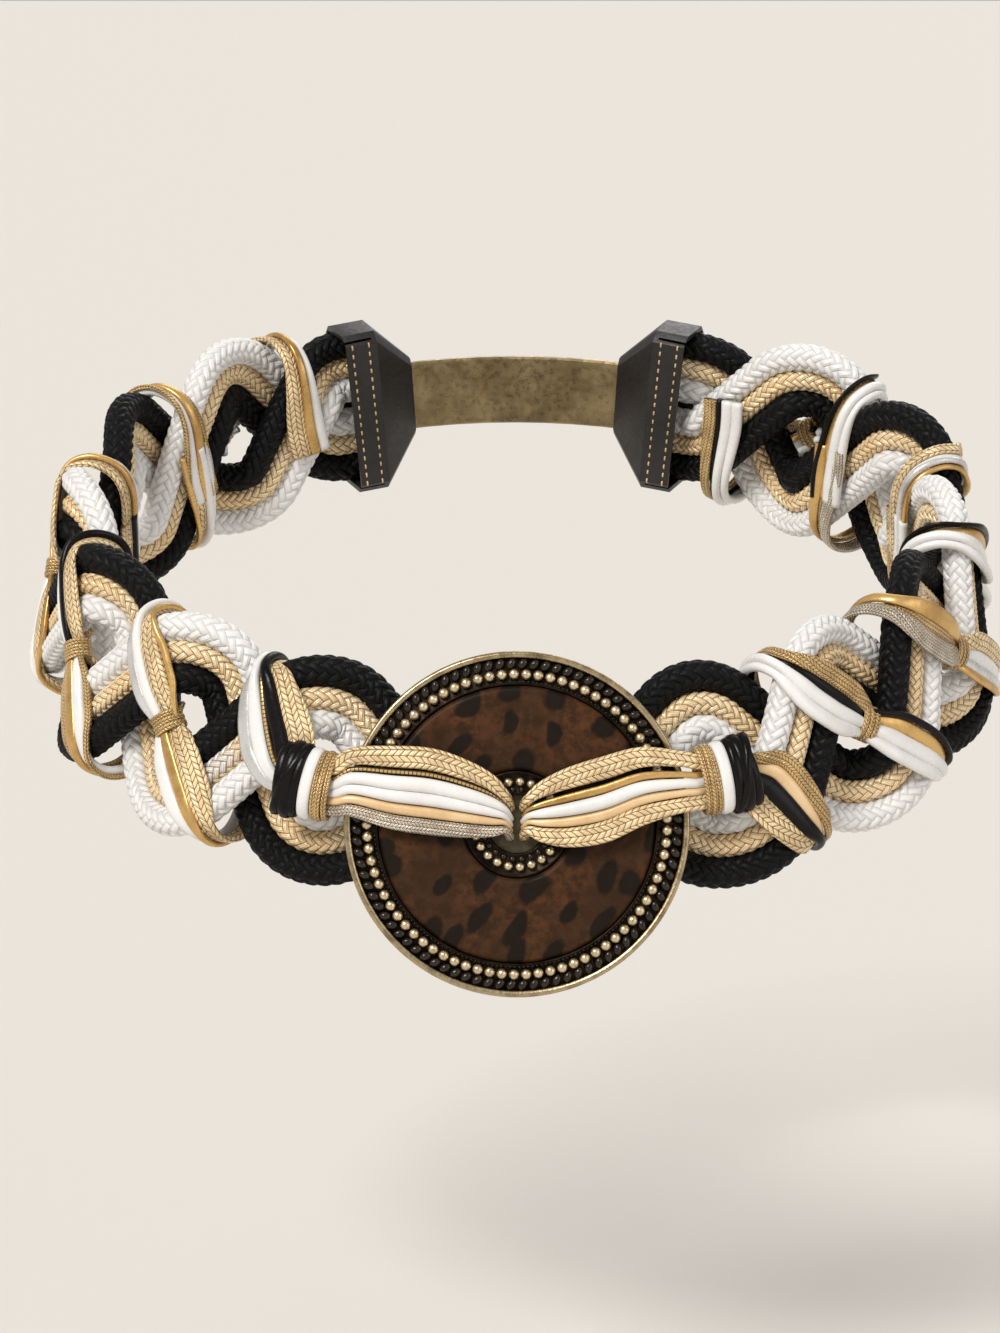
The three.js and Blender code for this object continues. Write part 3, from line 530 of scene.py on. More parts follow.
def metal_look(name, light, dark, roughness, wear=0.5, depth=0.04, scale=240.0, **sockets):
    """Aged metal: dark in patches, lighter where it is worn, with fine scratches in its gloss."""
    look = Look(name, light, roughness, 1.0, **sockets)
    patches = look.noise(scale, 5.0, 0.6)
    fine = look.noise(scale * 6, 3.0)
    look.colour(look.blend(look.ramp(patches, wear - 0.16, wear + 0.16), dark, light))
    look.rough(look.ramp(fine, 0.25, 0.75, roughness - 0.08, roughness + 0.14))
    look.bump(look.math("ADD", patches, fine), depth)
    return look.material


def spotted_look():
    """Brown satin. The mesh carries how deep in a spot each point lies."""
    look = Look("spotted_satin", (0.06, 0.024, 0.01), 0.42, Specular_IOR_Level=0.1)
    spot = look.node("ShaderNodeAttribute", attribute_name="spot").outputs["Fac"]
    edge = look.math("MULTIPLY_ADD", look.math("SUBTRACT", look.noise(330.0, 4.0, 0.65), 0.5), 0.7, spot)
    cloth = look.blend(look.ramp(look.noise(60.0, 4.0, 0.6), 0.3, 0.7), (0.038, 0.018, 0.008),
                       (0.088, 0.033, 0.0115))
    veins = look.ramp(look.noise(300.0, 5.0, 0.7), 0.35, 0.65)
    cloth = look.blend(veins, (0.032, 0.0155, 0.007), cloth)
    look.colour(look.blend(look.ramp(edge, 0.2, 0.6), cloth, (0.012, 0.0075, 0.0045)))
    look.rough(look.ramp(veins, 0.0, 1.0, 0.36, 0.52))
    look.bump(look.noise(1600.0, 2.0), 0.03)
    return look.material


# For the cord and mesh looks, the second colour is painted shade for the gaps between scales and threads.
LOOKS = {
    "white_cord": cord_look("white_cord", (0.84, 0.83, 0.81), (0.66, 0.645, 0.62), 0.36, Sheen_Weight=0.1),
    "gold_cord": cord_look("gold_cord", (0.98, 0.80, 0.52), (0.27, 0.13, 0.035), 0.26, 0.12,
                           thread_depth=0.8, patch=(0.90, 0.65, 0.35), silver=True),
    "black_cord": cord_look("black_cord", (0.005, 0.005, 0.0055), (0.0015, 0.0015, 0.0015), 0.5,
                            Specular_IOR_Level=0.13),
    "gold_mesh": mesh_look("gold_mesh", (0.97, 0.75, 0.43), (0.18, 0.085, 0.024), 0.28, 0.15),
    "fine_gold_mesh": mesh_look("fine_gold_mesh", (0.80, 0.55, 0.25), (0.13, 0.06, 0.015), 0.3, 0.5,
                                column=1.15, pitch=1.1),
    "silver_mesh": mesh_look("silver_mesh", (0.80, 0.70, 0.56), (0.12, 0.08, 0.045), 0.32, 0.5,
                             column=1.0, pitch=1.0),
    "gold_leather": leather_look("gold_leather", (0.72, 0.46, 0.17), (0.42, 0.24, 0.075), 0.28, Metallic=0.7),
    "black_leather": leather_look("black_leather", (0.006, 0.0045, 0.0045), (0.002, 0.0015, 0.0015), 0.22,
                                  Specular_IOR_Level=0.17),
    "tab_leather": leather_look("tab_leather", (0.016, 0.013, 0.012), (0.007, 0.006, 0.005), 0.4, depth=0.1),
    "stitch": leather_look("stitch", (0.66, 0.47, 0.25), (0.42, 0.27, 0.12), 0.5, depth=0.05),
    "clasp_brass": metal_look("clasp_brass", (0.40, 0.31, 0.17), (0.25, 0.19, 0.10), 0.3, scale=90.0),
    "white_leather": leather_look("white_leather", (0.80, 0.79, 0.77), (0.70, 0.685, 0.66), 0.25, depth=0.02),
    "silver_leather": leather_look("silver_leather", (0.72, 0.72, 0.71), (0.50, 0.49, 0.47), 0.27, depth=0.015,
                                   Metallic=0.5),
    "beige_leather": leather_look("beige_leather", (0.81, 0.58, 0.33), (0.66, 0.43, 0.21), 0.3, depth=0.02,
                                  Metallic=0.15),
    "dark_piping": piping_look(),
    "antique_brass": metal_look("antique_brass", (0.50, 0.395, 0.24), (0.24, 0.175, 0.095), 0.29, wear=0.44),
    "bead_brass": metal_look("bead_brass", (0.72, 0.585, 0.385), (0.36, 0.26, 0.14), 0.32, wear=0.38, scale=500.0),
    "keeper_brass": metal_look("keeper_brass", (0.13, 0.11, 0.07), (0.08, 0.065, 0.04), 0.45),
    "dark_bead": leather_look("dark_bead", (0.018, 0.012, 0.007), (0.006, 0.004, 0.002), 0.17,
                              Specular_IOR_Level=0.4),
    "dark_brass": metal_look("dark_brass", (0.030, 0.021, 0.014), (0.012, 0.009, 0.007), 0.4, depth=0.02),
    "spotted_satin": spotted_look(),
}


# The cords
COARSE = 1.0
CORDS = [
    # colour, radius, offset beside the bundle's middle, step, sides, scales round, scale length, relief
    ("white", WHITE_RADIUS, GOLD_RADIUS + WHITE_RADIUS + CLEARANCE, 0.62, 34, 8, 3.3, 0.5),
    ("gold", GOLD_RADIUS, 0.0, 0.48, 32, 8, 2.8, 0.5),
    ("black", BLACK_RADIUS, -(GOLD_RADIUS + BLACK_RADIUS + CLEARANCE), 0.62, 34, 8, 3.4, 0.5),
]
for bundle in ("a", "b"):
    for colour, radius, beside, step, sides, count, scale_length, relief in CORDS:
        low = bundle == "a"
        braided_cord(f"cord_{bundle}_{colour}", low, beside if low else -beside, radius, step * COARSE, sides,
                     count, scale_length, relief, LOOKS[f"{colour}_cord"], f"{colour}_cord")


# Thin straps. Each strand has a kind, which gives its section and its look.
KINDS = {
    # half thickness, how square its section is, look, slot
    "mesh": (0.85, 3.2, "gold_mesh", "gold_mesh"),
    "fine": (0.8, 3.0, "fine_gold_mesh", "gold_mesh"),
    "silver": (0.85, 3.0, "silver_mesh", "silver_mesh"),
    "pale": (0.95, 2.6, "silver_leather", "white_leather"),
    "strap": (0.8, 2.8, "gold_leather", "gold_leather"),
    "white": (1.35, 2.2, "white_leather", "white_leather"),
    "beige": (1.2, 2.2, "beige_leather", "beige_leather"),
    "black": (1.3, 2.3, "black_leather", "black_leather"),
    "piping": (0.9, 2.0, "dark_piping", "dark_piping"),
}


def spline(rows, count):
    """A smooth curve through rows of numbers, at even shares of the way. The first three columns are a place."""
    rows = np.asarray(rows, float)
    gap = np.maximum(np.linalg.norm(np.diff(rows[:, :3], axis=0), axis=1), 1e-3) ** 0.5
    knots = np.concatenate([[0], np.cumsum(gap)])
    slope = np.zeros_like(rows)
    for i in range(len(rows)):
        a, b = max(0, i - 1), min(len(rows) - 1, i + 1)
        slope[i] = (rows[b] - rows[a]) / (knots[b] - knots[a])
    fine = np.linspace(0, knots[-1], len(rows) * 24)
    i = np.clip(np.searchsorted(knots, fine, side="right") - 1, 0, len(rows) - 2)
    h = (knots[i + 1] - knots[i])[:, None]
    t = ((fine - knots[i]) / h[:, 0])[:, None]
    curve = (rows[i] * (2 * t**3 - 3 * t**2 + 1) + slope[i] * h * (t**3 - 2 * t**2 + t)
             + rows[i + 1] * (3 * t**2 - 2 * t**3) + slope[i + 1] * h * (t**3 - t**2))
    s = travelled(curve[:, :3])
    at = np.linspace(0, s[-1], count)
    return np.stack([np.interp(at, s, curve[:, c]) for c in range(rows.shape[1])], 1)


def rounded(half_width, half_thick, squareness, sides=12):
    """Rings of a rounded section: an oval that gets squarer as squareness grows."""
    angle = round_angles(sides)
    c, s = np.cos(angle), np.sin(angle)
    power = 2 / squareness
    x = np.sign(c) * np.abs(c) ** power
    y = np.sign(s) * np.abs(s) ** power
    return np.stack([np.asarray(half_width)[:, None] * x, np.asarray(half_thick)[:, None] * y], -1)


# One half turn of the strap band, from behind a crossing to the eye after it, as the solids have it
STRAP_TURN = [
    # along and up as shares, depth from behind 0 to in front 1, wide, lean of the width in degrees
    (-0.02, -0.35, 0.0, 0.6, 0),
    (0.0, 0.0, 0.0, 0.6, 0),
    (-0.01, 0.66, 0.02, 0.2, 0),
    (-0.01, 0.95, 0.2, 0.0, 6),
    (0.005, 1.05, 0.55, 0.0, 16),
    (0.04, 0.97, 0.85, 0.1, 28),
    (0.11, 0.8, 0.98, 0.6, 38),
    (0.2, 0.59, 1.0, 1.0, 44),
    (0.34, 0.3, 0.98, 1.0, 46),
    (0.45, 0.1, 0.92, 0.45, 47),
    (0.52, -0.04, 0.82, 0.05, 48),
    (0.58, -0.14, 0.66, 0.0, 48),
]
STRAP_PINCHED = 7.4  # the band's width in an eye
STRAND_SCALE = 1.14
STRAP_REACH = 26.0  # of the band above and below the middle line
STRAP_NEAR = STRAP_FRONT - 0.5
TUCK_LEAN, TUCK_SPACING, TUCK_DEPTH, TUCK_RADII = math.radians(48), 1.9, 0.84, (4.9, 3.2)


def half_turn(crossing, down):
    """Places, widths and leans of a half turn. down runs from the eye before the crossing to behind it."""
    rows = []
    for along, up, depth, wide, lean in STRAP_TURN:
        share, sign = (1 - along, -1) if down else (along, 1)
        start = crossing - PITCH if down else crossing
        rows.append((start + PITCH * share, sign * up * STRAP_REACH,
                     STRAP_BEHIND + depth * (STRAP_NEAR - STRAP_BEHIND), wide, lean))
    return rows[::-1] if down else rows


def first_turn(side):
    """From inside the knot to behind the first crossing."""
    height = side * KNOT_RAISE[side]
    start = [(60.0, height, KNOT_DEPTH - 1, 0.2, 62), (64.0, height - 3.0, KNOT_DEPTH - 0.2, 0.65, 56),
             (67.5, -7.0, STRAP_NEAR + 0.6, 1.0, 52)]
    return start + half_turn(FIRST_CROSSING, True)[5:]


def strap_strands(batches, rows, side, strands):
    """Lays strands side by side along rows, from the +width edge to the other."""
    strands = [(kind, half * STRAND_SCALE) for kind, half in strands]
    data = spline(rows, int(62 / COARSE) + 8)
    u, v, w, wide, lean = data.T
    u, v = side * u, side * v
    centre = on_belt(u, v, w)
    tangent = unit(np.gradient(centre, axis=0))
    along, out, across = waist_axes(turn_at(u))
    angle = np.radians(lean)[:, None]
    width = (along * np.cos(angle) + across * np.sin(angle)) * side
    width = square_to(width, tangent)
    up = unit(np.cross(width, tangent) * side)
    total = sum(2 * half for _, half in strands)
    room = STRAP_PINCHED + wide * (max(total, 9.0) - STRAP_PINCHED)
    squeeze = np.clip(room / total, 0.35, 1.02)
    place = total / 2
    for i, (kind, half) in enumerate(strands):
        thick, squareness, look, slot = KINDS[kind]
        x = place - half
        place -= 2 * half
        share = 2 * x / total
        stacked = (1 - squeeze) * 1.5 * (1 if i % 2 else -1)
        crown = -1.8 * share**2 * np.clip(wide, 0, 1)
        middle = centre + width * (x * squeeze)[:, None] + up * (crown + stacked)[:, None]
        own = unit(np.gradient(middle, axis=0))
        tilt = -0.35 * share * np.clip(wide, 0, 1)
        a = unit(width * np.cos(tilt)[:, None] + up * np.sin(tilt)[:, None])
        a = square_to(a, own)
        b = np.cross(a, own) * side
        section = rounded(half * np.clip(squeeze * 1.12, 0.6, 1.06), thick * np.ones(len(u)), squareness)
        batches.setdefault((look, slot), Batch()).add(*tube(middle, a, b, section))


RIGHT_STRANDS = [
    [("fine", 1.9), ("beige", 1.7), ("black", 2.4), ("mesh", 3.3)],
    [("fine", 2.2), ("black", 1.2), ("white", 1.9), ("white", 1.9)],
    [("black", 0.9), ("strap", 1.7), ("white", 2.1), ("white", 1.7)],
    [("strap", 2.2), ("fine", 1.2), ("silver", 3.0)],
    [("mesh", 2.4), ("white", 1.9), ("pale", 1.4), ("strap", 1.2)],
]
LEFT_STRANDS = [
    [("pale", 2.0), ("white", 2.0), ("piping", 0.9), ("black", 2.1), ("mesh", 3.2)],
    [("white", 2.1), ("strap", 1.7), ("mesh", 3.2)],
    [("pale", 1.9), ("white", 1.6), ("mesh", 2.7), ("strap", 0.9)],
    [("fine", 1.8), ("strap", 2.2), ("white", 1.8), ("fine", 1.0)],
    [("white", 2.0), ("black", 1.5), ("mesh", 2.9)],
]


def strap_band(name, side, orders):
    batches = {}
    strap_strands(batches, first_turn(side), side, orders[0])
    for k in range(CROSSINGS - 1):
        at = FIRST_CROSSING + k * PITCH
        order = orders[1 + (2 * k) % 4] if k < 2 else orders[1 + (2 * k + 1) % 4]
        other = orders[1 + (2 * k + 1) % 4] if k < 2 else orders[1 + (2 * k) % 4]
        strap_strands(batches, half_turn(at, False), side, order)
        strap_strands(batches, half_turn(at + PITCH, True), side, other)
        tuck(batches, at + PITCH / 2, side)
    for i, ((look, slot), batch) in enumerate(sorted(batches.items(), key=lambda item: item[0])):
        obj = batch.make(f"strap_{name}_{look}", slot, LOOKS[look])
        if i == 0:
            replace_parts(obj, f"strap_band_{name}")


def closed_coil(batch, centre, a, b, radius_a, radius_b, axis, half_width, half_thick, squareness, count):
    """A ring of rounded section round an axis: an oval with half axes along a and b."""
    turn = round_angles(count)
    path = centre + a * (radius_a * np.cos(turn))[:, None] + b * (radius_b * np.sin(turn))[:, None]
    normal = unit(a * (radius_b * np.cos(turn))[:, None] + b * (radius_a * np.sin(turn))[:, None])
    side = np.repeat(axis[None], count, 0)
    ones = np.ones(count)
    section = rounded(half_width * ones, half_thick * ones, squareness, 10)
    batch.add(*tube(path, side, normal, section, closed=True))


def tuck(batches, u, side):
    """Three small gold turns that hold the straps together where they dive into an eye."""
    for offset in (-TUCK_SPACING, 0.0, TUCK_SPACING):
        uu, vv = u + offset * math.sin(TUCK_LEAN), -offset * math.cos(TUCK_LEAN)
        centre = on_belt(side * uu, side * vv, STRAP_BEHIND + TUCK_DEPTH * (STRAP_NEAR - STRAP_BEHIND))
        along, out, across = waist_axes(turn_at(side * uu))
        a = along * math.cos(TUCK_LEAN) + across * math.sin(TUCK_LEAN)
        axis = np.cross(a, out)
        batch = batches.setdefault(("fine_gold_mesh", "gold_mesh"), Batch())
        closed_coil(batch, centre, a, out, *TUCK_RADII, axis, 1.0, 0.6, 2.4, 28)


strap_band("right", 1, RIGHT_STRANDS)
strap_band("left", -1, LEFT_STRANDS)


# Knots: turns of strap side by side
KNOT_TURNS = {
    # look, slot, then for each turn its place along the belt, half width, half thickness, growth and tilt
    "gold": ("fine_gold_mesh", "gold_mesh", [(48.9, 0.85, 0.75, -1.9, 0.0), (50.4, 0.85, 0.8, -1.5, 0.02),
                                             (51.8, 0.75, 0.75, -1.7, 0.0)]),
    "white": ("white_leather", "white_leather", [(54.2, 1.85, 1.2, -1.7, 0.02)]),
    "black": ("black_leather", "black_leather", [(57.2, 1.6, 1.4, -1.6, 0.06), (59.4, 1.9, 1.7, -1.3, 0.0),
                                                 (61.6, 1.7, 1.5, -2.0, -0.08), (59.6, 1.3, 1.2, -0.6, 0.27)]),
}
for side, name in ((1, "right"), (-1, "left")):
    for kind, (look, slot, turns) in KNOT_TURNS.items():
        batch = Batch()
        for place, half_width, half_thick, grow, tilt in turns:
            centre = on_belt(side * place, KNOT_RAISE[side], KNOT_DEPTH)
            along, out, across = waist_axes(turn_at(side * place))
            tip = unit(across + along * tilt)
            closed_coil(batch, centre, tip, out, KNOT_HALF_HEIGHT - KNOT_INSET + grow,
                        KNOT_HALF_DEPTH - KNOT_INSET + grow, along, half_width, half_thick, 2.6, 56)
        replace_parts(batch.make(f"{name}_knot_{kind}_turns", slot, LOOKS[look]), f"{name}_knot_{kind}")


# The loops that hold the medallion
LOOP_STRANDS = {
    "left": [("gold_mesh", 3.3, "mesh"), ("dark_piping", 1.0, "piping"), ("white_upper", 2.0, "white"),
             ("white_lower", 1.7, "white"), ("beige", 1.7, "beige"), ("silver_mesh", 2.3, "silver")],
    "right": [("gold_mesh", 3.4, "mesh"), ("", 0.45, ""), ("gold_strap", 1.4, "strap"), ("white", 1.9, "white"),
              ("beige", 1.7, "beige"), ("gold_mesh_lower", 3.2, "mesh")],
}
LOOP_ROWS = {
    # reach as a share of the medallion's radius, lift off its face, height of the stack, its middle
    "left": [(0.95, 0.9, 20.0, 11.7), (0.72, 2.0, 24.0, 10.3), (0.5, 2.3, 25.0, 9.2), (0.3, 2.0, 22.5, 7.2),
             (0.15, 1.5, 18.2, 5.2), (0.07, 0.7, 12.8, 3.4)],
    "right": [(0.95, 0.9, 18.0, 11.8), (0.72, 2.0, 22.6, 10.7), (0.5, 2.3, 24.8, 7.0), (0.3, 2.0, 23.0, 4.8),
              (0.15, 1.5, 18.0, 3.6), (0.07, 0.7, 12.4, 2.8)],
}
LOOP_LIFTS = {"mesh": 0.2, "piping": -0.3, "white": 0.9, "beige": 0.1, "silver": 0.0, "strap": -0.3}
LOOP_THICK = {"mesh": 1.3, "piping": 0.9, "white": 1.75, "beige": 1.3, "silver": 1.2, "strap": 0.9}
LOOP_IN_KNOT, LOOP_MOUTH, LOOP_MOUTH_OUT, LOOP_IN_HOLE = 53.0, 47.6, 1.4, 1.95
LOOP_SLACK = 3.8  # of the strands' height inside a knot


def stack(strands, height, middle, gap=0.15):
    wide = sum(2 * s[1] for s in strands)
    shrink = (height - gap * (len(strands) - 1)) / wide
    top, found = middle + height / 2, []
    for s in strands:
        half = s[1] * shrink
        found.append((top - half, half))
        top -= 2 * half + gap
    return found


def to_medallion(point):
    d = point - MEDALLION_AT
    return d @ MEDALLION_X, d @ MEDALLION_Y, d @ MEDALLION_Z


for name, side in (("right", 1), ("left", -1)):
    strands = LOOP_STRANDS[name]
    inner = to_medallion(on_belt(side * LOOP_IN_KNOT, KNOT_RAISE[side], KNOT_DEPTH))
    mouth = to_medallion(on_belt(side * LOOP_MOUTH, KNOT_RAISE[side], KNOT_DEPTH + LOOP_MOUTH_OUT))
    at_knot = stack(strands, 2 * (KNOT_HALF_HEIGHT - KNOT_WALL) - LOOP_SLACK, 0.0, 0.0)
    at_hole = stack(strands, 11.0, 1.0, 0.1)
    for i, (strand, half, kind) in enumerate(strands):
        if not kind:
            continue
        _, squareness, look, slot = KINDS[kind]
        thick = LOOP_THICK[kind]
        rows = [(p[0], p[1] + at_knot[i][0], p[2], at_knot[i][1]) for p in (inner, mouth)]
        for reach, lift, height, middle in LOOP_ROWS[name]:
            place, wide = stack(strands, height - 1.0, middle, 0.35)[i]
            rows.append((side * MEDALLION_RADIUS * reach, place,
                         MEDALLION_THICKNESS + 0.3 + thick + lift * (1 + 0.35 * LOOP_LIFTS[kind]), wide))
        for depth in (MEDALLION_THICKNESS - 1.0, 0.0):
            rows.append((side * LOOP_IN_HOLE, at_hole[i][0], depth, at_hole[i][1]))
        data = spline(rows, int(80 / COARSE))
        centre = on_medallion(data[:, 0], data[:, 1], data[:, 2])
        tangent = unit(np.gradient(centre, axis=0))
        width = np.repeat(MEDALLION_Y[None], len(centre), 0)
        width = square_to(width, tangent)
        up = np.cross(width, tangent) * side
        grow = 1.12 if kind == "white" else 1.02
        batch = Batch()
        section = rounded(data[:, 3] * grow, np.minimum(thick, data[:, 3] * 1.2), squareness, 16)
        batch.add(*tube(centre, width, up, section))
        obj = batch.make(f"{name}_loop_{strand}_strand", slot, LOOKS[look])
        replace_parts(obj, f"{name}_loop_{strand}")


# Medallion
FACE = 1.8  # height of the sunk floor
RIM_WIDTH, INSERT_RADIUS, HUB_RADIUS, HOLE_RADIUS = 1.9, 38.4, 15.05, 8.0
BEAD_RING, HUB_BEAD_RING = 41.6, 11.8


def turned(name, profile, look, slot):
    """A profile of (radius, height) turned round the medallion's axis."""
    profile = np.asarray(profile, float)
    segments = 160
    angle = round_angles(segments)
    radius, height = profile[:, 0], profile[:, 1]
    points = on_medallion(np.cos(angle)[:, None] * radius, np.sin(angle)[:, None] * radius,
                          np.ones(segments)[:, None] * height)
    faces = [f[::-1] for f in grid_faces(segments, len(profile), True)]
    u = np.repeat(angle * 40, len(profile))
    v = np.tile(np.arange(len(profile)), segments)
    return add_mesh(name, points.reshape(-1, 3), faces, np.stack([u, v], 1), look=look)


def bead_ring(name, rows, look, slot):
    """rows of (ring radius, bead radius, count, height of the middle, flattening, stretch outward, lean)."""
    batch = Batch()
    for ring, bead, count, height, flat, stretch, lean in rows:
        stacks, around = (7, 12) if bead < 1 else (9, 16)
        polar = np.linspace(0, math.pi, stacks)[1:-1]
        spin = round_angles(around)
        x = np.concatenate([[0], (np.sin(polar)[:, None] * np.cos(spin)).ravel(), [0]]) * bead
        y = np.concatenate([[0], (np.sin(polar)[:, None] * np.sin(spin)).ravel(), [0]]) * bead
        z = np.concatenate([[1], np.repeat(np.cos(polar), around), [-1]]) * bead * flat
        x, y = (stretch * x * math.cos(lean) - y * math.sin(lean),
                stretch * x * math.sin(lean) + y * math.cos(lean))
        faces = []
        for c in range(around):
            d = (c + 1) % around
            faces.append((0, 1 + c, 1 + d))
            for r in range(len(polar) - 1):
                a = 1 + r * around
                faces.append((a + c, a + around + c, a + around + d, a + d))
            a = 1 + (len(polar) - 1) * around
            faces.append((a + c, len(x) - 1, a + d))
        corner = np.zeros((sum(len(f) for f in faces), 2))
        for i in range(count):
            angle = (i + 0.5) / count * 2 * math.pi
            c, s = math.cos(angle), math.sin(angle)
            points = on_medallion(ring * c + x * c - y * s, ring * s + x * s + y * c, height + z)
            batch.add(points, faces, corner)
    return batch.make(name, slot, look)


rim = MEDALLION_RADIUS
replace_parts(turned("medallion_rim", [
    (rim - 0.7, 0.0), (rim, 0.7), (rim, 2.0), (rim - 0.15, 2.6), (rim - 0.5, 2.95), (rim - 0.9, 3.0),
    (rim - 1.5, 2.9), (rim - RIM_WIDTH, 2.5), (rim - RIM_WIDTH, FACE - 0.4), (rim - 1.5, 0.0)],
    LOOKS["antique_brass"], "antique_brass"), "medallion_frame")
turned("medallion_floor", [
    (rim - 1.4, 0.05), (rim - 1.4, FACE), (INSERT_RADIUS + 0.9, FACE), (INSERT_RADIUS + 0.5, FACE + 0.5),
    (INSERT_RADIUS + 0.2, FACE), (INSERT_RADIUS + 0.2, 0.9), (HUB_RADIUS - 0.2, 0.9), (HUB_RADIUS - 0.2, FACE),
    (HUB_RADIUS - 0.6, FACE + 0.5), (HUB_RADIUS - 1.0, FACE), (HOLE_RADIUS + 1.2, FACE),
    (HOLE_RADIUS + 0.7, 2.4), (HOLE_RADIUS + 0.1, 2.2), (HOLE_RADIUS, 0.3), (HOLE_RADIUS + 0.5, 0.0)],
    LOOKS["dark_brass"], "antique_brass")
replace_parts(bead_ring("outer_beads", [(BEAD_RING, 1.5, 77, FACE + 0.8, 0.95, 1, 0)],
                      LOOKS["bead_brass"], "antique_brass"), "outer_bead_row")
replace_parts(bead_ring("hub_beads", [(HUB_BEAD_RING, 1.3, 23, FACE + 0.7, 0.95, 1, 0)],
                      LOOKS["bead_brass"], "antique_brass"), "hub_bead_row")
bead_ring("dark_beads", [(44.5, 1.2, 88, FACE + 0.15, 0.9, 1.42, -0.7), (39.55, 0.3, 200, FACE + 0.1, 0.9, 1, 0),
                         (9.65, 0.85, 24, FACE + 0.5, 0.9, 1, 0)], LOOKS["dark_bead"], "antique_brass")

# Soft dark spots: place on the insert as turn in degrees and share of the way out, length, width, lean
SPOTS = []
generator = np.random.default_rng(11)
for share, count, start in ((0.16, 7, 25), (0.54, 12, 4), (0.93, 17, 14)):
    for i in range(count):
        turn = start + 360 * i / count + generator.uniform(-9, 9)
        SPOTS.append((turn, share + generator.uniform(-0.07, 0.07), generator.uniform(3.3, 5.6),
                      generator.uniform(1.9, 3.0), 62 + generator.uniform(-28, 28)))


def insert_mesh():
    rings, segments = 46, 300
    radius = np.linspace(HUB_RADIUS, INSERT_RADIUS, rings)
    angle = round_angles(segments)
    x = radius[:, None] * np.cos(angle)
    y = radius[:, None] * np.sin(angle)
    edge = np.minimum(radius - HUB_RADIUS, INSERT_RADIUS - radius)
    z = FACE - 0.45 + 1.2 * np.sqrt(np.clip(edge / 1.2, 0, 1)) * np.ones((rings, segments)).T
    spot = np.zeros((rings, segments))
    for turn, share, length, width, lean in SPOTS:
        r = HUB_RADIUS + share * (INSERT_RADIUS - HUB_RADIUS)
        t = math.radians(turn)
        dx, dy = x - r * math.cos(t), y - r * math.sin(t)
        heading = math.radians(lean)
        a = dx * math.cos(heading) + dy * math.sin(heading)
        b = -dx * math.sin(heading) + dy * math.cos(heading)
        b = b + 0.06 * a**2 * math.sin(turn)
        spot = np.maximum(spot, np.clip(1.45 - np.sqrt((a / length) ** 2 + (b / width) ** 2), 0, 1))
    points = on_medallion(x, y, z.T).reshape(-1, 3)
    faces = grid_faces(rings, segments)
    uv = np.stack([x.ravel(), y.ravel()], 1)
    return add_mesh("medallion_satin", points, faces, uv, look=LOOKS["spotted_satin"],
                    attributes={"spot": spot.ravel()})


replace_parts(insert_mesh(), "medallion_insert")

# Solids that stay as they are, with their own finish
for node, look in (("loop_keeper", "keeper_brass"), ("back_clasp", "clasp_brass")):
    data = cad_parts[node].data
    data.materials.clear()
    data.materials.append(LOOKS[look])


ROUND_OFF = 1.1


def softened(node, look):
    """The node's own block with its edges rounded."""
    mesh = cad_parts[node].data.copy()
    mesh.name = node + "_leather"
    work = bmesh.new()
    work.from_mesh(mesh)
    bmesh.ops.remove_doubles(work, verts=work.verts, dist=0.00002)
    bmesh.ops.dissolve_limit(work, angle_limit=math.radians(4), verts=work.verts, edges=work.edges)
    sharp = [e for e in work.edges if len(e.link_faces) == 2 and e.calc_face_angle(0) > math.radians(22)]
    bmesh.ops.bevel(work, geom=sharp, offset=ROUND_OFF * MM, segments=4, profile=0.5, affect="EDGES",
                    clamp_overlap=True)
    bmesh.ops.triangulate(work, faces=work.faces)
    work.to_mesh(mesh)
    work.free()
    mesh.materials.clear()
    mesh.materials.append(look)
    mesh.polygons.foreach_set("use_smooth", [True] * len(mesh.polygons))
    obj = placed(mesh.name, mesh)
    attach(obj, "root")
    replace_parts(obj, node)


STITCH_HALF_LENGTH, STITCH_COUNT = 0.85, 17


def stitches(name, side):
    """Two rows of pale stitches across each face of a tab's sleeve."""
    batch = Batch()
    cord_end = LAST_CROSSING + CORD_END_RUN
    half_height = RUN_OFFSET + BUNDLE_HALF + CLEARANCE - 2
    outer = MIDDLE_DEPTH + BLACK_RADIUS + CLEARANCE + TAB_WALL
    for u in (cord_end - TAB_POCKET + 2.2, cord_end - 1.0):
        for w in (outer + 0.05, -0.05):
            for v in np.linspace(-half_height, half_height, STITCH_COUNT):
                ends = np.array([[side * u, v - STITCH_HALF_LENGTH, w], [side * u, v + STITCH_HALF_LENGTH, w]])
                path = on_belt(*np.linspace(ends[0], ends[1], 5).T)
                along, out, across = (a[0] for a in waist_axes(turn_at(ends[:1, 0])))
                path += out * (np.array([-0.25, 0.1, 0.18, 0.1, -0.25]) * (1 if w > 0 else -1))[:, None]
                frame_side, frame_up = np.repeat(along[None], 5, 0), np.repeat(out[None], 5, 0)
                section = rounded(np.full(5, 0.28), np.full(5, 0.22), 2, 8)
                batch.add(*tube(path, frame_side, frame_up, section))
    batch.make(name + "_tab_stitches", "gold_leather", LOOKS["stitch"])


for side, name in ((1, "right"), (-1, "left")):
    softened(name + "_end_tab", LOOKS["tab_leather"])
    stitches(name, side)

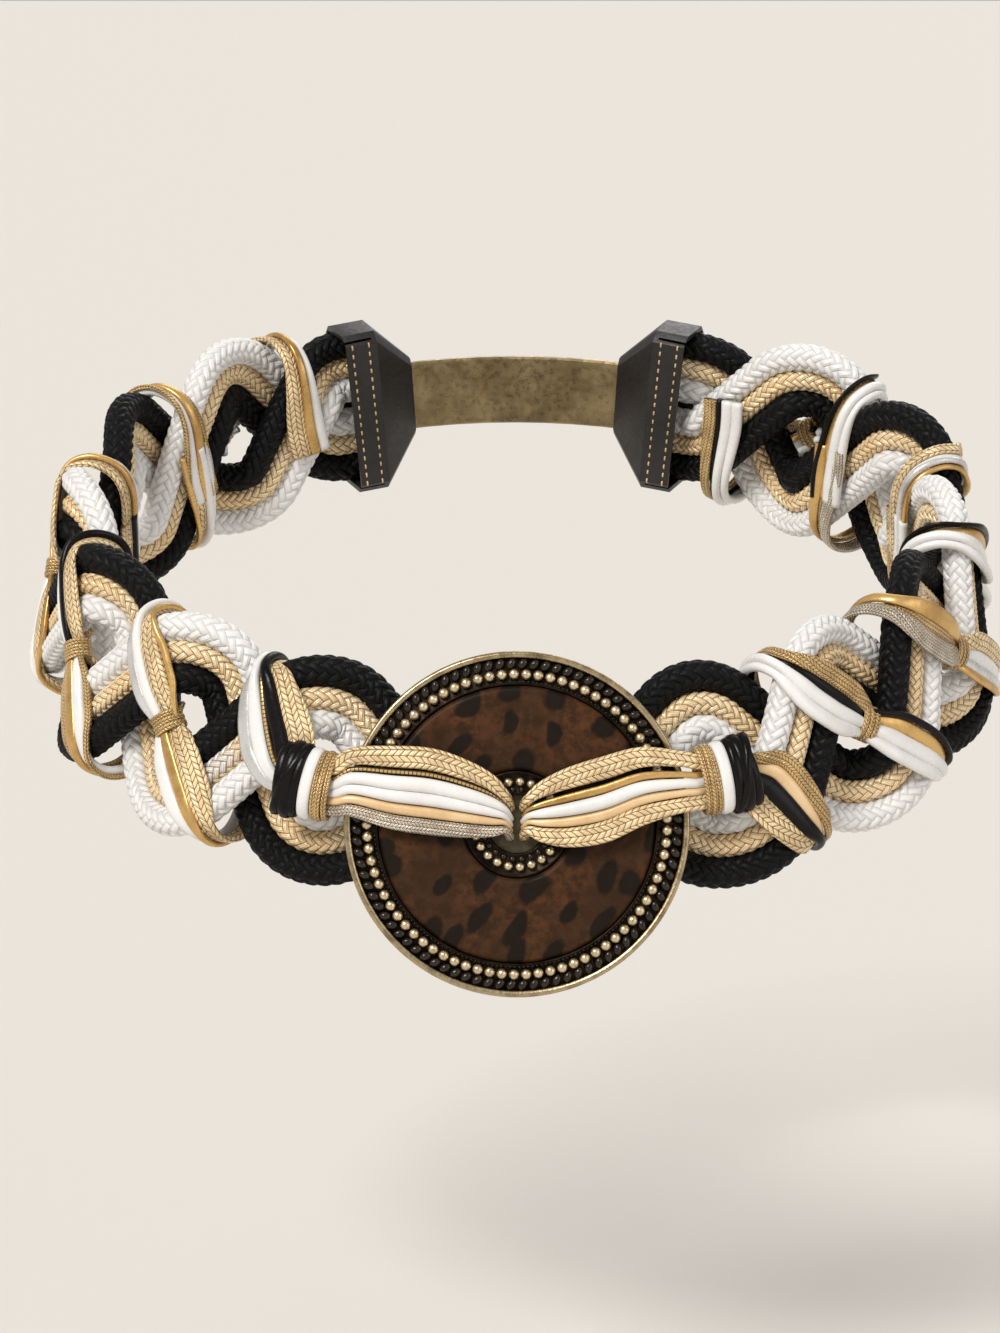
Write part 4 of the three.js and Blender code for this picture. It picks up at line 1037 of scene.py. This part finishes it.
# Camera: at the photograph's angle. These are in metres.
ELEVATION = math.radians(10)
DISTANCE, SENSOR_WIDTH = 1.2, 36
FRAME_WIDTH = 0.2775  # across at the medallion
AIM_LEFT, AIM_UP = 0.0047, 0.0437  # of the medallion's middle
right = Vector((1, 0, 0))
forward = Vector((0, math.cos(ELEVATION), -math.sin(ELEVATION)))
upward = Vector((0, math.sin(ELEVATION), math.cos(ELEVATION)))
middle = Vector((MEDALLION_AT * MM).tolist())
target = middle - right * AIM_LEFT + upward * AIM_UP
camera = bpy.data.cameras.new("camera")
camera.sensor_fit = "HORIZONTAL"
camera.sensor_width = SENSOR_WIDTH
camera.lens = SENSOR_WIDTH * DISTANCE / FRAME_WIDTH
camera.clip_start, camera.clip_end = 0.05, 20
eye = placed("camera", camera)
eye.location = target - forward * DISTANCE
eye.rotation_euler = forward.to_track_quat("-Z", "Y").to_euler()
bpy.context.scene.camera = eye


def soft_sun(name, place, strength, spread, colour=(1, 1, 1)):
    light = bpy.data.lights.new(name, "SUN")
    light.energy, light.angle, light.color = strength, math.radians(spread), colour
    obj = placed(name, light)
    obj.location = place
    obj.rotation_euler = (-Vector(place)).to_track_quat("-Z", "Y").to_euler()


soft_sun("key", (-0.75, -1.1, 1.15), 2.45, 22, (1.0, 0.985, 0.96))
soft_sun("fill", (1.3, -0.9, 0.4), 0.55, 40, (0.97, 0.98, 1.0))
soft_sun("back", (0.4, 1.3, 0.9), 0.7, 40)
world = bpy.data.worlds.new("studio")
world.use_nodes = True
world.node_tree.nodes["Background"].inputs["Color"].default_value = (0.95, 0.92, 0.88, 1)
world.node_tree.nodes["Background"].inputs["Strength"].default_value = 0.5
bpy.context.scene.world = world
bpy.context.scene.view_settings.view_transform = "Standard"

# A pale round floor
FLOOR_HEIGHT, FLOOR_FIRST_RING, FLOOR_REACH = -0.24, 0.5, 60.0
rings = [0.0] + list(FLOOR_FIRST_RING * (FLOOR_REACH / FLOOR_FIRST_RING) ** np.linspace(0, 1, 10))
spokes = 48
points = [(0, 0, FLOOR_HEIGHT)] + [(r * math.cos(2 * math.pi * i / spokes), r * math.sin(2 * math.pi * i / spokes),
                                    FLOOR_HEIGHT) for r in rings[1:] for i in range(spokes)]
faces = [(0, 1 + i, 1 + (i + 1) % spokes) for i in range(spokes)]
for r in range(len(rings) - 2):
    start = 1 + r * spokes
    faces += [(start + i, start + spokes + i, start + spokes + (i + 1) % spokes, start + (i + 1) % spokes)
              for i in range(spokes)]
floor_mesh = bpy.data.meshes.new("floor")
floor_mesh.from_pydata(points, [], faces)
floor = placed("floor", floor_mesh)
paper = Look("paper", (0.72, 0.69, 0.645), 0.9, Specular_IOR_Level=0.1)
paper.bump(paper.noise(300.0, 2.0), 0.05)
floor_mesh.materials.append(paper.material)
